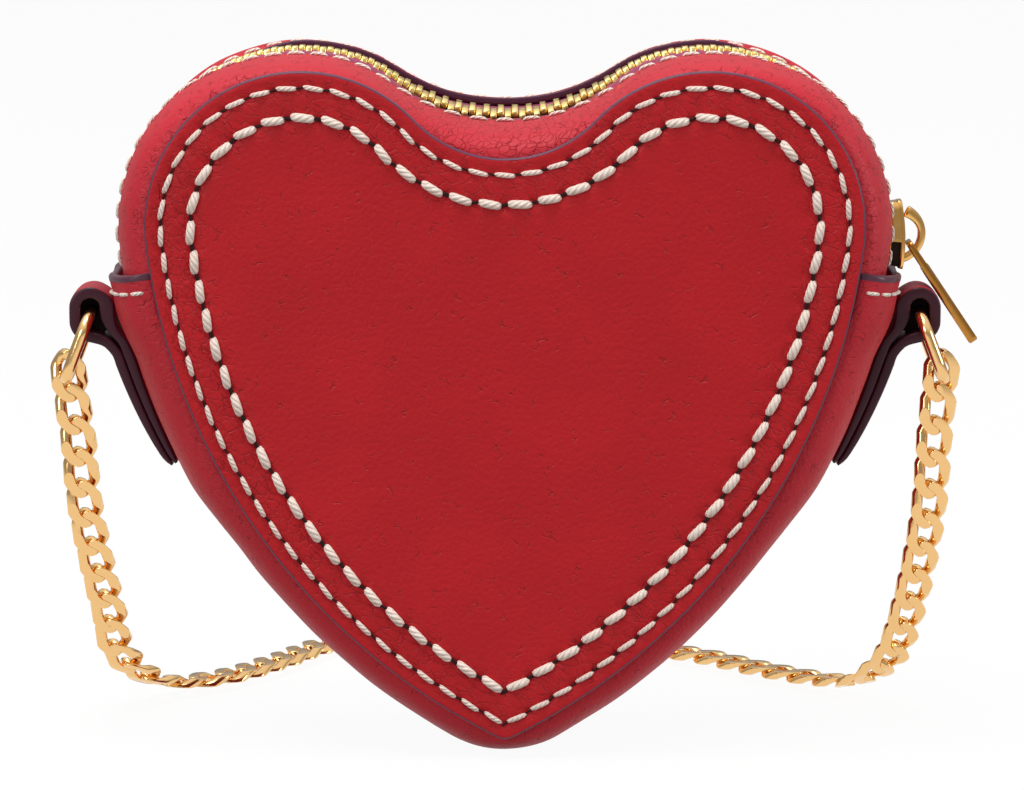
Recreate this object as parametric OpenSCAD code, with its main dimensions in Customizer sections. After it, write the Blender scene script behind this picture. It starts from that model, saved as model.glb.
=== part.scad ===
// Heart-shaped leather purse: two stitched heart panels, a zipped top gusset, a lower gusset
// strip, two side tabs with rings and a curb-chain strap that lies behind it. Millimetres.
// The purse stands on its tip at the origin; X is its width, the front panel faces -Y.

/* [Body] */
// Depth over both panels
body_d = 44; // [36:1:56]
// Thickness of the heart panels
panel_t = 2; // [1.5:0.1:2.6]
// Thickness of the lower gusset leather
gusset_t = 1.6; // [1.2:0.1:2]
// How far the gusset starts inside the edge of a panel
gusset_inset = 1; // [0.5:0.1:2]
// Depth of the flat that the tip stands on
tip_flat = 0.5; // [0.3:0.1:0.8]

/* [Heart panels] */
// Distance of a lobe's centre from the middle
panel_lobe_x = 39.7; // [38:0.1:41]
// Height of the lobes' centres
panel_lobe_z = 105.8; // [104:0.1:108]
// Radius of the lobes
panel_lobe_r = 30.5; // [29:0.1:32]
// Radius of the long sides
panel_side_r = 126; // [118:1:140]
// Height of the panel's tip
panel_tip_z = 4.2; // [3:0.1:6]
// Radius of the panel's tip
panel_tip_r = 3; // [2.6:0.1:6]
// Radius of the dip between the lobes
panel_dip_r = 24.5; // [20:0.5:30]

/* [Gusset crown line] */
// Distance of a lobe's centre from the middle, half way through the depth
crown_lobe_x = 40; // [38.5:0.1:41.5]
// Height of the lobes' centres, half way through the depth
crown_lobe_z = 104; // [102.5:0.1:106]
// Radius of the lobes, half way through the depth
crown_lobe_r = 36.5; // [35.5:0.1:37.5]
// Radius of the long sides, half way through the depth
crown_side_r = 131; // [124:1:142]
// Radius of the tip, half way through the depth
crown_tip_r = 24; // [18:0.5:30]
// Radius of the dip, half way through the depth
crown_dip_r = 45; // [36:1:55]
// Height at which the lower gusset's ends lap over the zipped gusset
cuff_z = 94.8; // [92:0.1:95.5]
// Length of that lap
cuff_lap = 9; // [6:0.5:12]
// How far the lower gusset stands out at the lap
cuff_lift = 3; // [2.6:0.1:3.4]
// How far the lower gusset stands out along the sides
strip_lift = 1.5; // [1:0.1:2]

/* [Zip] */
// Width of the gap between the two zip leathers
zip_gap = 9; // [9:0.1:11]
// Thickness of the zip leathers
zip_leather_t = 1.5; // [1.2:0.1:1.6]
// Distance of the tape behind the leather
tape_gap = 0.15; // [0.1:0.05:0.3]
// Thickness of the zip tape
tape_t = 0.5; // [0.4:0.05:0.6]
// Depth of a tape from its toothed edge
tape_w = 8; // [6:0.5:9]
// Distance between the teeth of one tape
tooth_pitch = 2.74; // [2.6:0.02:3.2]
// Length of a tooth along the zip
tooth_l = 1.24; // [1:0.02:1.26]
// Height of a tooth, through the tape
tooth_h = 2.2; // [1.9:0.1:2.3]
// Width of a row of teeth, past the middle
tooth_w = 3.8; // [3.4:0.1:4.2]
// How far a tooth reaches past the middle
tooth_reach = 0.9; // [0.6:0.1:1]
// Width of the slider across the zip
slider_w = 8.4; // [7.8:0.1:8.6]
// Length of the slider along the zip
slider_l = 12.8; // [11:0.1:13.4]
// Thickness of the slider's lower plate
slider_plate_t = 1; // [0.8:0.1:1.2]
// Height of the slider's body above the leather
slider_rise = 3; // [2.6:0.1:3.4]
// Height of the slider's crown above its body
crown_rise = 4.2; // [3.8:0.1:4.6]
// Thickness of the crown's strip
crown_t = 1.5; // [1.2:0.1:1.6]
// Width of the crown's strip
crown_w = 2.2; // [1.8:0.1:2.4]
// Length of the pull past its pivot
pull_l = 23.3; // [18:0.1:24]
// Width of the pull
pull_w = 6; // [5:0.1:8]
// Thickness of the pull
pull_t = 1.9; // [1.5:0.1:2]

/* [Stitching] */
// Distance of the thin stitch row from the panel's edge
edge_row = 3.2; // [2.5:0.1:4.5]
// Distance of the thick stitch row from the panel's edge
rope_row = 9; // [7.5:0.1:11]
// Distance between the thin stitches
edge_pitch = 5.2; // [4.5:0.1:7]
// Distance between the thick stitches
rope_pitch = 5.85; // [5.4:0.05:8]
// Length of a thin stitch
edge_stitch_l = 4; // [3:0.1:4.4]
// Length of a thick stitch
rope_stitch_l = 4.8; // [4:0.1:5.2]
// Thickness of the thin thread
edge_thread = 0.95; // [0.6:0.05:1.2]
// Thickness of the thick thread
rope_thread = 1.55; // [1:0.05:1.8]
// Thickness of the thread on the zip leathers and the laps
zip_thread = 0.55; // [0.4:0.05:0.7]
// Distance between the stitches on the zip leathers and the laps
zip_stitch_pitch = 4.7; // [4:0.1:6]
// Length of a stitch on the zip leathers
zip_stitch_l = 3.4; // [2.4:0.1:3.8]
// Distance of the zip stitches from the middle of the depth
zip_row_y = 6.5; // [6:0.1:7.5]

/* [Side tabs and rings] */
// Width of a tab through the depth
tab_w = 11; // [8:0.5:14]
// Gap between a tab's loop and the gusset
tab_stand = 0.8; // [0.5:0.05:1.2]
// Height of the upper end of the loop's slot
tab_z = 88; // [87.6:0.1:88.2]
// Outer radius of the loop
tab_r = 4.15; // [3.9:0.05:4.2]
// Thickness of the strap
tab_t = 2.25; // [2:0.05:2.4]
// Length of the loop's slot between its round ends
tab_slot = 2.7; // [2.4:0.1:3]
// Height at which a tab ends on the gusset
tab_end_z = 57.8; // [54:0.1:66]
// Thickness of both layers under the loop
tail_top_t = 4.7; // [4.3:0.1:4.8]
// Thickness of the skived end
tail_end_t = 1.7; // [1:0.1:3]
// Thickness of a ring's wire
ring_wire = 2.4; // [2:0.1:2.6]
// Height of a ring between the middles of its bars
ring_h = 13.5; // [12:0.1:15]
// Corner radius of a ring
ring_corner = 4; // [3:0.1:5]
// How far a ring leans out from upright
ring_lean = 20.9; // [16:0.1:24]

/* [Chain] */
// Thickness of the links' wire
link_wire = 1.85; // [1.6:0.05:1.9]
// Half width of a link, to the middle of its wire
link_hw = 2.85; // [2.75:0.05:3]
// Half length of a link, to the middle of its wire
link_hl = 4.65; // [4.6:0.01:4.75]
// Twist of a link from end to end
link_twist = 95; // [90:1:100]
// Distance between neighbouring links
link_pitch = 6.95; // [6.9:0.01:6.98]

/* [Hidden] */

// Finishes, as seen
red = [0.68, 0.13, 0.17];
lit_red = [0.77, 0.21, 0.25];
cream = [0.91, 0.84, 0.78];
gold = [0.88, 0.65, 0.29];
brass = [0.85, 0.74, 0.38];
mauve = [0.69, 0.35, 0.47];
burgundy = [0.3, 0.12, 0.18];
lining_tan = [0.72, 0.58, 0.46];
board = [0.55, 0.5, 0.45];

// Running clearances and small named sizes
seam_gap = 0.05;
lap_gap = 0.15;
roll_power = 2.6;
half_d = body_d / 2;
gusset_d = half_d - panel_t - seam_gap;
stiffener_t = 1;
lining_t = 0.5;
lining_gap = 0.1;
lining_ease = 0.5;
overrun = 1;

// A heart is four tangent arcs on each side: tip, long side, lobe and dip.
// heart() holds their centres, the angles where they meet, and their radii.
function deg_of(arc, r) = arc / r * 180 / PI;
function arc_of(deg, r) = deg * PI / 180 * r;
function clamp01(x) = min(1, max(0, x));
function smooth(x) = pow(clamp01(x), 2) * (3 - 2 * clamp01(x));
function angle_to(from, to) = atan2(to[1] - from[1], to[0] - from[0]);
function on_arc(c, r, a) = [c[0] + r * cos(a), c[1] + r * sin(a)];

// The crossing of two circles that lies further to -X
function cross_point(c1, r1, c2, r2) =
    let (d = norm(c2 - c1), a = (r1 * r1 - r2 * r2 + d * d) / (2 * d),
        h = sqrt(r1 * r1 - a * a), along = (c2 - c1) / d, mid = c1 + a * along,
        p = mid + h * [-along[1], along[0]], q = mid - h * [-along[1], along[0]])
    p[0] < q[0] ? p : q;

function heart(lobe_x, lobe_z, lobe_r, side_r, tip_z, tip_r, dip_r) =
    let (tip = [0, tip_z + tip_r], lobe = [lobe_x, lobe_z],
        side = cross_point(lobe, side_r - lobe_r, tip, side_r - tip_r),
        dip = [0, lobe_z + sqrt(pow(lobe_r + dip_r, 2) - lobe_x * lobe_x)])
    [tip, side, lobe, dip, angle_to(side, tip), angle_to(side, lobe), angle_to(lobe, dip),
        tip_r, side_r, lobe_r, dip_r];

// A point of the right half at u, 0 to 4 from the tip to the dip, drawn in by off
function heart_at(h, u, off) =
    u < 1 ? on_arc(h[0], h[7] - off, -90 + (h[4] + 90) * u)
    : u < 2 ? on_arc(h[1], h[8] - off, h[4] + (h[5] - h[4]) * (u - 1))
    : u < 3 ? on_arc(h[2], h[9] - off, h[5] + (h[6] - h[5]) * (u - 2))
    : on_arc(h[3], h[10] + off, h[6] - 180 + (90 - h[6]) * (u - 3));

// Where the long sides start: at the tip's arc, or where they cross inside it
function side_start(h, off) =
    off < h[7] ? h[4] : -acos(-h[1][0] / (h[8] - off));
function lengths(h, off) =
    [off < h[7] ? arc_of(h[4] + 90, h[7] - off) : 0, arc_of(h[5] - side_start(h, off), h[8] - off),
        arc_of(h[6] - h[5], h[9] - off), arc_of(h[6] - 90, h[10] + off)];
function half_length(h, off) = let (l = lengths(h, off)) l[0] + l[1] + l[2] + l[3];

// Point and outward angle at a distance s from the tip along the drawn-in right half
function half_at(h, off, s) =
    let (l = lengths(h, off), s1 = s - l[0], s2 = s1 - l[1], s3 = s2 - l[2])
    s < l[0] ? turned(h[0], h[7] - off, -90 + deg_of(s, h[7] - off))
    : s1 < l[1] ? turned(h[1], h[8] - off, side_start(h, off) + deg_of(s1, h[8] - off))
    : s2 < l[2] ? turned(h[2], h[9] - off, h[5] + deg_of(s2, h[9] - off))
    : let (a = h[6] - 180 - deg_of(s3, h[10] + off), p = on_arc(h[3], h[10] + off, a))
        [p[0], p[1], a + 180];
function turned(c, r, a) = let (p = on_arc(c, r, a)) [p[0], p[1], a];
function loop_at(h, off, s) =
    let (half = half_length(h, off), p = half_at(h, off, s < half ? s : 2 * half - s))
    s < half ? p : [-p[0], p[1], 180 - p[2]];

panel = heart(panel_lobe_x, panel_lobe_z, panel_lobe_r, panel_side_r, panel_tip_z,
    panel_tip_r, panel_dip_r);
crown = heart(crown_lobe_x, crown_lobe_z, crown_lobe_r, crown_side_r, -tip_flat,
    crown_tip_r, crown_dip_r);

// Outline of a flat heart, drawn in by off, as a polygon with the arcs in even steps
function steps(from, to, n) = [for (i = [0:n]) from + (to - from) * i / n];
function heart_half(h, off) =
    concat(off < h[7] ? [for (i = [0:3]) heart_at(h, i / 4, off)] : [],
        [for (a = steps(side_start(h, off), h[5], 18)) on_arc(h[1], h[8] - off, a)],
        [for (i = [1:24]) heart_at(h, 2 + i / 24, off)],
        [for (i = [1:10]) heart_at(h, 3 + i / 10, off)]);
function heart_outline(h, off) =
    let (right = heart_half(h, off), n = len(right))
    concat(right, [for (i = [n - 2:-1:1]) [-right[i][0], right[i][1]]]);

// The angle on the long side where a height lies, and its place u
function side_angle(z) = asin((z - crown[1][1]) / crown_side_r);
function side_u(a) = 1 + (a - crown[4]) / (crown[5] - crown[4]);
function u_angle(u) = crown[4] + (crown[5] - crown[4]) * (u - 1);
cuff_a = side_angle(cuff_z);
under_a = cuff_a - deg_of(cuff_lap, crown_side_r);
cuff_u = side_u(cuff_a);
under_u = side_u(under_a);

// How far the lower gusset stands out of the crown line: a little along the sides, more at
// the lap, and not at all at the tip. The angles are places on the long side.
strip_fade_a = -36;
strip_full_a = -28;
cuff_fade_a = -17;
cuff_full_a = -12.5;
function strip_share(a) = smooth((a - strip_fade_a) / (strip_full_a - strip_fade_a));
function cuff_share(a) = smooth((a - cuff_fade_a) / (cuff_full_a - cuff_fade_a));
function lift(a) = strip_lift * strip_share(a) + (cuff_lift - strip_lift) * cuff_share(a);
function lift_u(u) = u < 1 ? 0 : lift(u_angle(u));
function edge_lift_u(u) = u < 1 ? 0 : (gusset_t + lap_gap) * cuff_share(u_angle(u));

// A point of the rolled gusset: u round the heart, phi through the depth (0 the middle, 90 a
// panel), drawn in by crown_off at the middle and by edge_off at the panels
function roll_y(phi, d) = d * sign(phi) * pow(abs(sin(phi)), 2 / roll_power);
function roll_share(phi) = pow(abs(cos(phi)), 2 / roll_power);
function roll_phi(y) = asin(pow(y / gusset_d, roll_power / 2));
function skin(u, side, phi, crown_off, edge_off, d) =
    let (p = heart_at(panel, u, gusset_inset + edge_off), m = heart_at(crown, u, crown_off),
        f = abs(phi) > 89 ? 0 : roll_share(phi), q = p + (m - p) * f)
    [side * q[0], roll_y(phi, d), max(0, q[1])];

// A closed wall between two grids of points, the outer one first
module wall(outer, inner) {
    nu = len(outer);
    nv = len(outer[0]);
    n = nu * nv;
    points = concat([for (row = outer) for (p = row) p], [for (row = inner) for (p = row) p]);
    function id(i, j, k) = k * n + i * nv + j;
    function quad(a, b, c, d) = [[a, b, c], [a, c, d]];
    faces = concat(
        [for (i = [0:nu - 2]) for (j = [0:nv - 2])
            each quad(id(i, j, 0), id(i, j + 1, 0), id(i + 1, j + 1, 0), id(i + 1, j, 0))],
        [for (i = [0:nu - 2]) for (j = [0:nv - 2])
            each quad(id(i, j, 1), id(i + 1, j, 1), id(i + 1, j + 1, 1), id(i, j + 1, 1))],
        [for (i = [0:nu - 2])
            each quad(id(i, 0, 0), id(i + 1, 0, 0), id(i + 1, 0, 1), id(i, 0, 1))],
        [for (i = [0:nu - 2]) each quad(id(i, nv - 1, 0), id(i, nv - 1, 1),
            id(i + 1, nv - 1, 1), id(i + 1, nv - 1, 0))],
        [for (j = [0:nv - 2])
            each quad(id(0, j, 0), id(0, j, 1), id(0, j + 1, 1), id(0, j + 1, 0))],
        [for (j = [0:nv - 2]) each quad(id(nu - 1, j, 0), id(nu - 1, j + 1, 0),
            id(nu - 1, j + 1, 1), id(nu - 1, j, 1))]);
    polyhedron(points, faces, convexity = 6);
}

// Both halves of a path of u places: over the top from left to right, or under the tip back
function over_top(us) =
    concat([for (u = us) [u, -1]], [for (i = [len(us) - 2:-1:0]) [us[i], 1]]);
function under_tip(us) =
    concat([for (i = [len(us) - 1:-1:0]) [us[i], 1]], [for (i = [1:len(us) - 1]) [us[i], -1]]);
function tail_of(list) = [for (i = [1:len(list) - 1]) list[i]];

zip_us = concat(steps(under_u, 2, 2), tail_of(steps(2, 3, 14)), tail_of(steps(3, 4, 5)));
bend_u = side_u(cuff_fade_a - 2);
low_us = concat(steps(0, 1, 5), tail_of(steps(1, bend_u, 7)), tail_of(steps(bend_u, cuff_u, 7)));

// A cylinder between two points
module stick(p, q, d) {
    v = q - p;
    translate(p) rotate([0, acos(v[2] / norm(v)), atan2(v[1], v[0])])
        cylinder(h = norm(v), d = d, $fn = 24);
}

// A flat shape drawn in X and Z, from depth y0 to y1
module in_depth(y0, y1) {
    translate([0, y1, 0]) rotate([90, 0, 0]) linear_extrude(y1 - y0) children();
}

// What stands on the crown line, turned so that X points out of the purse and Z along the line
module on_crown(p) {
    translate([p[0], 0, p[1]]) rotate([0, -p[2], 0]) children();
}

module panel_plate(off, y0, y1) {
    in_depth(y0, y1) polygon(heart_outline(panel, off));
}

// A row of stitches on a panel's face at depth y, their threads centred there
module stitch_row(off, pitch, len, thread, y) {
    total = 2 * half_length(panel, off);
    n = round(total / pitch);
    for (i = [0:n - 1]) {
        s = total * (i + 0.5) / n;
        a = loop_at(panel, off, s - len / 2);
        b = loop_at(panel, off, s + len / 2);
        stick([a[0], y, a[1]], [b[0], y, b[1]], thread);
    }
}

module front_panel() {
    color(red) panel_plate(0, -half_d, panel_t - half_d);
}

module back_panel() {
    color(red) panel_plate(0, half_d - panel_t, half_d);
}

stiffener_off = gusset_inset + max(gusset_t, zip_leather_t) + lining_ease;
stiffener_y = half_d - panel_t - seam_gap;
lining_y = stiffener_y - stiffener_t - lining_gap;

module front_stiffener() {
    color(board) panel_plate(stiffener_off, -stiffener_y, stiffener_t - stiffener_y);
}

module back_stiffener() {
    color(board) panel_plate(stiffener_off, stiffener_y - stiffener_t, stiffener_y);
}

module front_lining() {
    color(lining_tan) panel_plate(stiffener_off, -lining_y, lining_t - lining_y);
}

module back_lining() {
    color(lining_tan) panel_plate(stiffener_off, lining_y - lining_t, lining_y);
}

low_phis = [-90, -75, -60, -45, -30, -15, 0, 15, 30, 45, 60, 75, 90];

module lower_gusset() {
    path = under_tip(low_us);
    color(lit_red) wall(
        [for (p = path) [for (phi = low_phis)
            skin(p[0], p[1], phi, -lift_u(p[0]), -edge_lift_u(p[0]), gusset_d)]],
        [for (p = path) [for (phi = low_phis)
            skin(p[0], p[1], phi, p[0] > under_u - lap_gap ? min(-lap_gap, gusset_t - lift_u(p[0]))
                : gusset_t - lift_u(p[0]), gusset_t - edge_lift_u(p[0]), gusset_d)]]);
}

// The lining of the gusset ends below the zip's lap
module gusset_lining() {
    us = concat(steps(0.1, 1, 2), tail_of(steps(1, bend_u, 5)));
    phis = [-90, -50, -20, 20, 50, 90];
    off = gusset_t + lining_ease;
    d = lining_y - lining_t - lining_gap;
    color(lining_tan) wall(
        [for (p = under_tip(us)) [for (phi = phis)
            skin(p[0], p[1], phi, off, off, d)]],
        [for (p = under_tip(us)) [for (phi = phis)
            skin(p[0], p[1], phi, off + lining_t, off + lining_t, d)]]);
}

// One zip leather, from the zip's gap to a panel. side is -1 in front and 1 behind.
zip_phis = [roll_phi(zip_gap / 2), 18, 30, 45, 60, 75, 90];

module zip_strip(side) {
    phis = side < 0 ? [for (i = [6:-1:0]) -zip_phis[i]] : zip_phis;
    color(lit_red) wall(
        [for (p = over_top(zip_us)) [for (phi = phis) skin(p[0], p[1], phi, 0, 0, gusset_d)]],
        [for (p = over_top(zip_us)) [for (phi = phis)
            skin(p[0], p[1], phi, zip_leather_t, zip_leather_t, gusset_d)]]);
}

module zip_strip_front() {
    zip_strip(-1);
}

module zip_strip_back() {
    zip_strip(1);
}

// The tape's toothed edge lies in the jaws of the teeth
tooth_jaw_d = 1.4;
tape_y = tooth_w - tooth_reach - tooth_jaw_d;
tape_off = zip_leather_t + tape_gap;
tape_mid = tape_off + tape_t / 2;
tape_phis = [roll_phi(tape_y), roll_phi(tape_y + tape_w / 2), roll_phi(tape_y + tape_w)];

module zip_tape(side) {
    phis = side < 0 ? [for (i = [2:-1:0]) -tape_phis[i]] : tape_phis;
    color(mauve) wall(
        [for (p = over_top(zip_us)) [for (phi = phis)
            skin(p[0], p[1], phi, tape_off, tape_off, gusset_d)]],
        [for (p = over_top(zip_us)) [for (phi = phis)
            skin(p[0], p[1], phi, tape_off + tape_t, tape_off + tape_t, gusset_d)]]);
}

module zip_tape_front() {
    zip_tape(-1);
}

module zip_tape_back() {
    zip_tape(1);
}

// The slider stands on the right lobe's arc; these are angles there, from level
slider_a = -2.5;
slider_half_a = deg_of(slider_l / 2, crown_lobe_r);
neck_inset = 0.64;
neck_l = 3.2;
tooth_lead = 0.95;
jaw_play = 0.4;
neck_span_a = deg_of(neck_l, crown_lobe_r);
neck_a = slider_a - slider_half_a + deg_of(neck_inset, crown_lobe_r);
tooth_start_a = neck_a + neck_span_a + deg_of(tooth_lead, crown_lobe_r);
tooth_jaw_h = tape_t + jaw_play;

// Distance along the tape, from the tip, of the first tooth and of the zip's far end
zip_l = lengths(crown, tape_mid);
first_tooth = zip_l[0] + zip_l[1] + arc_of(tooth_start_a - crown[5], crown_lobe_r - tape_mid);
zip_total = 2 * half_length(crown, tape_mid);
far_end = zip_total - zip_l[0] - arc_of(cuff_a - crown[4], crown_side_r - tape_mid) - tooth_pitch;
tooth_n = floor((far_end - first_tooth) / tooth_pitch);

module tooth(side) {
    difference() {
        translate([-tooth_h / 2, side < 0 ? -(tooth_w - tooth_reach) : -tooth_reach, -tooth_l / 2])
            cube([tooth_h, tooth_w, tooth_l]);
        translate([-tooth_jaw_h / 2, side < 0 ? -(tooth_w - tooth_reach) - overrun : tape_y - lap_gap,
            -tooth_l]) cube([tooth_jaw_h, tooth_jaw_d + lap_gap + overrun, 2 * tooth_l]);
    }
}

module zip_teeth(side) {
    shift = side < 0 ? 0 : tooth_pitch / 2;
    color(brass) for (i = [0:tooth_n - 1])
        on_crown(loop_at(crown, tape_mid, first_tooth + shift + i * tooth_pitch)) tooth(side);
}

module zip_teeth_front() {
    zip_teeth(-1);
}

module zip_teeth_back() {
    zip_teeth(1);
}

// The stops: a bar across the far end, and a clip on each tape at the slider's end
stop_l = 1.6;

module zip_stops() {
    stop_w = tape_y - lap_gap;
    color(brass) {
        on_crown(loop_at(crown, tape_mid, far_end + tooth_pitch / 2))
            translate([-tooth_h / 2, -stop_w, -stop_l / 2]) cube([tooth_h, 2 * stop_w, stop_l]);
        for (side = [-1, 1])
            on_crown(loop_at(crown, tape_mid, first_tooth - tooth_pitch * 0.75))
                translate([tape_t / 2 + lap_gap, side < 0 ? -(tooth_w - tooth_reach) : tape_y,
                    -stop_l / 2]) cube([(tooth_h - tape_t) / 2 - lap_gap, tooth_jaw_d, stop_l]);
    }
}

// Part of a ring round the right lobe's centre: from angle a over span, in radius and in depth
module lobe_sector(a, span, r0, r1, y0, y1) {
    translate([crown_lobe_x, 0, crown_lobe_z]) rotate([90, 0, 0]) rotate([0, 0, a])
        rotate_extrude(angle = span, $fn = 120) translate([r0, -y1]) square([r1 - r0, y1 - y0]);
}

plate_gap = 0.2;
plate_r = crown_lobe_r - tape_mid + tooth_h / 2 + plate_gap;
lower_plate_r = crown_lobe_r - tape_mid - tooth_h / 2 - plate_gap;
shoulder_rise = 1.2;
shoulder_r = crown_lobe_r + shoulder_rise;
body_r = crown_lobe_r + slider_rise;
flange_w = 0.7;
flange_gap = 0.3;
neck_w = 1.8;
spine_w = 5.2;

// The slider's crown is an arch over its body, of one radius, set in the slider's own frame
arch_half_l = 5.8;
arch_r = (arch_half_l * arch_half_l + crown_rise * crown_rise) / (2 * crown_rise);
arch_c = body_r + crown_rise - arch_r;

module slider_frame() {
    translate([crown_lobe_x, 0, crown_lobe_z]) rotate([0, -slider_a, 0]) children();
}

module zip_slider() {
    a = slider_a - slider_half_a;
    span = 2 * slider_half_a;
    half_w = slider_w / 2;
    color(gold) union() {
        lobe_sector(a, span, plate_r, shoulder_r, -half_w, half_w);
        lobe_sector(a, span, shoulder_r - seam_gap, body_r, -spine_w / 2, spine_w / 2);
        lobe_sector(a, span, lower_plate_r - slider_plate_t, lower_plate_r, -half_w, half_w);
        lobe_sector(neck_a, neck_span_a, lower_plate_r - seam_gap, plate_r + seam_gap,
            -neck_w / 2, neck_w / 2);
        for (side = [-1, 1]) {
            y0 = side < 0 ? -half_w : half_w - flange_w;
            lobe_sector(a, span, crown_lobe_r - tape_off + flange_gap, plate_r + seam_gap,
                y0, y0 + flange_w);
            lobe_sector(a, span, lower_plate_r - seam_gap,
                crown_lobe_r - tape_off - tape_t - flange_gap, y0, y0 + flange_w);
        }
        slider_frame() intersection() {
            translate([arch_c, crown_w / 2, 0]) rotate([90, 0, 0]) difference() {
                cylinder(h = crown_w, r = arch_r, $fn = 60);
                translate([0, 0, -overrun])
                    cylinder(h = crown_w + 2 * overrun, r = arch_r - crown_t, $fn = 60);
            }
            translate([body_r - crown_t, -crown_w, -arch_r])
                cube([crown_rise + crown_t + overrun, 2 * crown_w, 2 * arch_r]);
        }
    }
}

// A tab's loop stands off the gusset, and the pull leans on the right one
tab_top_a = side_angle(tab_z);
tab_seat_r = crown_side_r + seam_gap + lap_gap;
tab_x = on_arc(crown[1], tab_seat_r + lift(tab_top_a), tab_top_a)[0] + tab_stand + tab_r;

// The pull hangs from the crown by the bar at the end of its eye. Its pivot is given in the
// slider's frame, above the body and below its middle.
pivot_up = 1.1;
pivot_down = 2;
pivot = [crown_lobe_x + (body_r + pivot_up) * cos(slider_a) + pivot_down * sin(slider_a),
    crown_lobe_z + (body_r + pivot_up) * sin(slider_a) - pivot_down * cos(slider_a)];
eye_bar = 1.3;
eye_l = 5.4;
eye_play = 0.8;
eye_w = crown_w + eye_play;
pull_bevel = 0.5;
pull_gap = 0.17;
to_tab = [tab_x - pivot[0], pivot[1] - tab_z];
pull_lean = atan2(to_tab[1], to_tab[0]) - asin((tab_r + pull_t / 2 + pull_gap) / norm(to_tab));

module zip_pull() {
    profile = [[0, -eye_bar / 2], [eye_l, -eye_bar / 2], [eye_l + pull_bevel, -pull_t / 2],
        [pull_l - pull_bevel, -pull_t / 2], [pull_l, pull_bevel - pull_t / 2],
        [pull_l, pull_t / 2 - pull_bevel], [pull_l - pull_bevel, pull_t / 2],
        [eye_l + pull_bevel, pull_t / 2], [eye_l, eye_bar / 2], [0, eye_bar / 2]];
    color(gold) translate([pivot[0], 0, pivot[1]]) rotate([0, pull_lean, 0]) difference() {
        union() {
            in_depth(-pull_w / 2, pull_w / 2) polygon(profile);
            in_depth(-pull_w / 2, pull_w / 2) circle(d = eye_bar, $fn = 32);
        }
        translate([eye_bar / 2, -eye_w / 2, -pull_t]) cube([eye_l - eye_bar / 2, eye_w, 2 * pull_t]);
    }
}

module front_edge_stitches() {
    color(cream) stitch_row(edge_row, edge_pitch, edge_stitch_l, edge_thread,
        -half_d - edge_thread / 2);
}

module front_rope_stitches() {
    color(cream) stitch_row(rope_row, rope_pitch, rope_stitch_l, rope_thread,
        -half_d - rope_thread / 2);
}

module back_edge_stitches() {
    color(cream) stitch_row(edge_row, edge_pitch, edge_stitch_l, edge_thread,
        half_d + edge_thread / 2);
}

module back_rope_stitches() {
    color(cream) stitch_row(rope_row, rope_pitch, rope_stitch_l, rope_thread,
        half_d + rope_thread / 2);
}

// Rows on both zip leathers, from lap to lap
module zip_stitches() {
    off = -zip_thread / 2;
    start = lengths(crown, off)[0] + arc_of(cuff_a - crown[4], crown_side_r - off) + overrun;
    run = 2 * (half_length(crown, off) - start);
    n = floor(run / zip_stitch_pitch);
    color(cream) for (side = [-1, 1]) for (i = [0:n - 1]) {
        s = start + run * (i + 0.5) / n;
        a = loop_at(crown, off, s - zip_stitch_l / 2);
        b = loop_at(crown, off, s + zip_stitch_l / 2);
        stick([a[0], side * zip_row_y, a[1]], [b[0], side * zip_row_y, b[1]], zip_thread);
    }
}

// A row across each lap, a little below its end
cuff_row_drop = 3.6;
cuff_row_rise = 0.58;
cuff_stitch_share = 0.76;

module cuff_stitches() {
    u = side_u(cuff_a - deg_of(cuff_row_drop, crown_side_r));
    off = -lift_u(u) - cuff_row_rise;
    edge_off = -edge_lift_u(u) - cuff_row_rise;
    phis = [-72, -52, -36, -22, -8, 8, 22, 36, 52, 72];
    color(cream) for (side = [-1, 1]) for (i = [0:len(phis) - 2]) {
        a = skin(u, side, phis[i], off, edge_off, gusset_d);
        b = skin(u, side, phis[i + 1], off, edge_off, gusset_d);
        stick(a + (b - a) * (1 - cuff_stitch_share) / 2,
            a + (b - a) * (1 + cuff_stitch_share) / 2, zip_thread);
    }
}

// A side tab: a strap folded to a loop, its two layers skived and running down the gusset
tab_end_a = side_angle(tab_end_z);
web_share = 0.16;
web_turn = 78;

module tab_outline() {
    n = 16;
    angles = steps(tab_end_a, tab_top_a, n);
    web_n = round(n * (1 - web_share));
    c = crown[1];
    top_r = tab_seat_r + strip_lift;
    high = [tab_x, tab_z];
    low = high - [0, tab_slot];
    hole_r = tab_r - tab_t;
    difference() {
        polygon(concat([for (a = angles) on_arc(c, tab_seat_r + lift(a), a)],
            [for (a = [180:-12:0]) on_arc(high, tab_r, a)],
            [for (a = [0:-web_turn / 6:-web_turn]) on_arc(low, tab_r, a)],
            [for (i = [web_n:-1:0]) on_arc(c, top_r + tail_end_t + (tail_top_t - tail_end_t)
                * sqrt(i / n), angles[i])]));
        polygon(concat([for (a = [180:-15:0]) on_arc(high, hole_r, a)],
            [for (a = [0:-15:-180]) on_arc(low, hole_r, a)]));
    }
}

module right_tab() {
    color(burgundy) in_depth(-tab_w / 2, tab_w / 2) tab_outline();
}

module left_tab() {
    color(burgundy) mirror([1, 0, 0]) in_depth(-tab_w / 2, tab_w / 2) tab_outline();
}

// An oval ring: its upper bar lies in the tab's slot, and it leans outwards
ring_play = 0.6;
ring_bar = tab_w + ring_play;
ring_z = tab_z - tab_slot / 2;
ring_foot = [tab_x + ring_h * sin(ring_lean), ring_z - ring_h * cos(ring_lean)];

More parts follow.
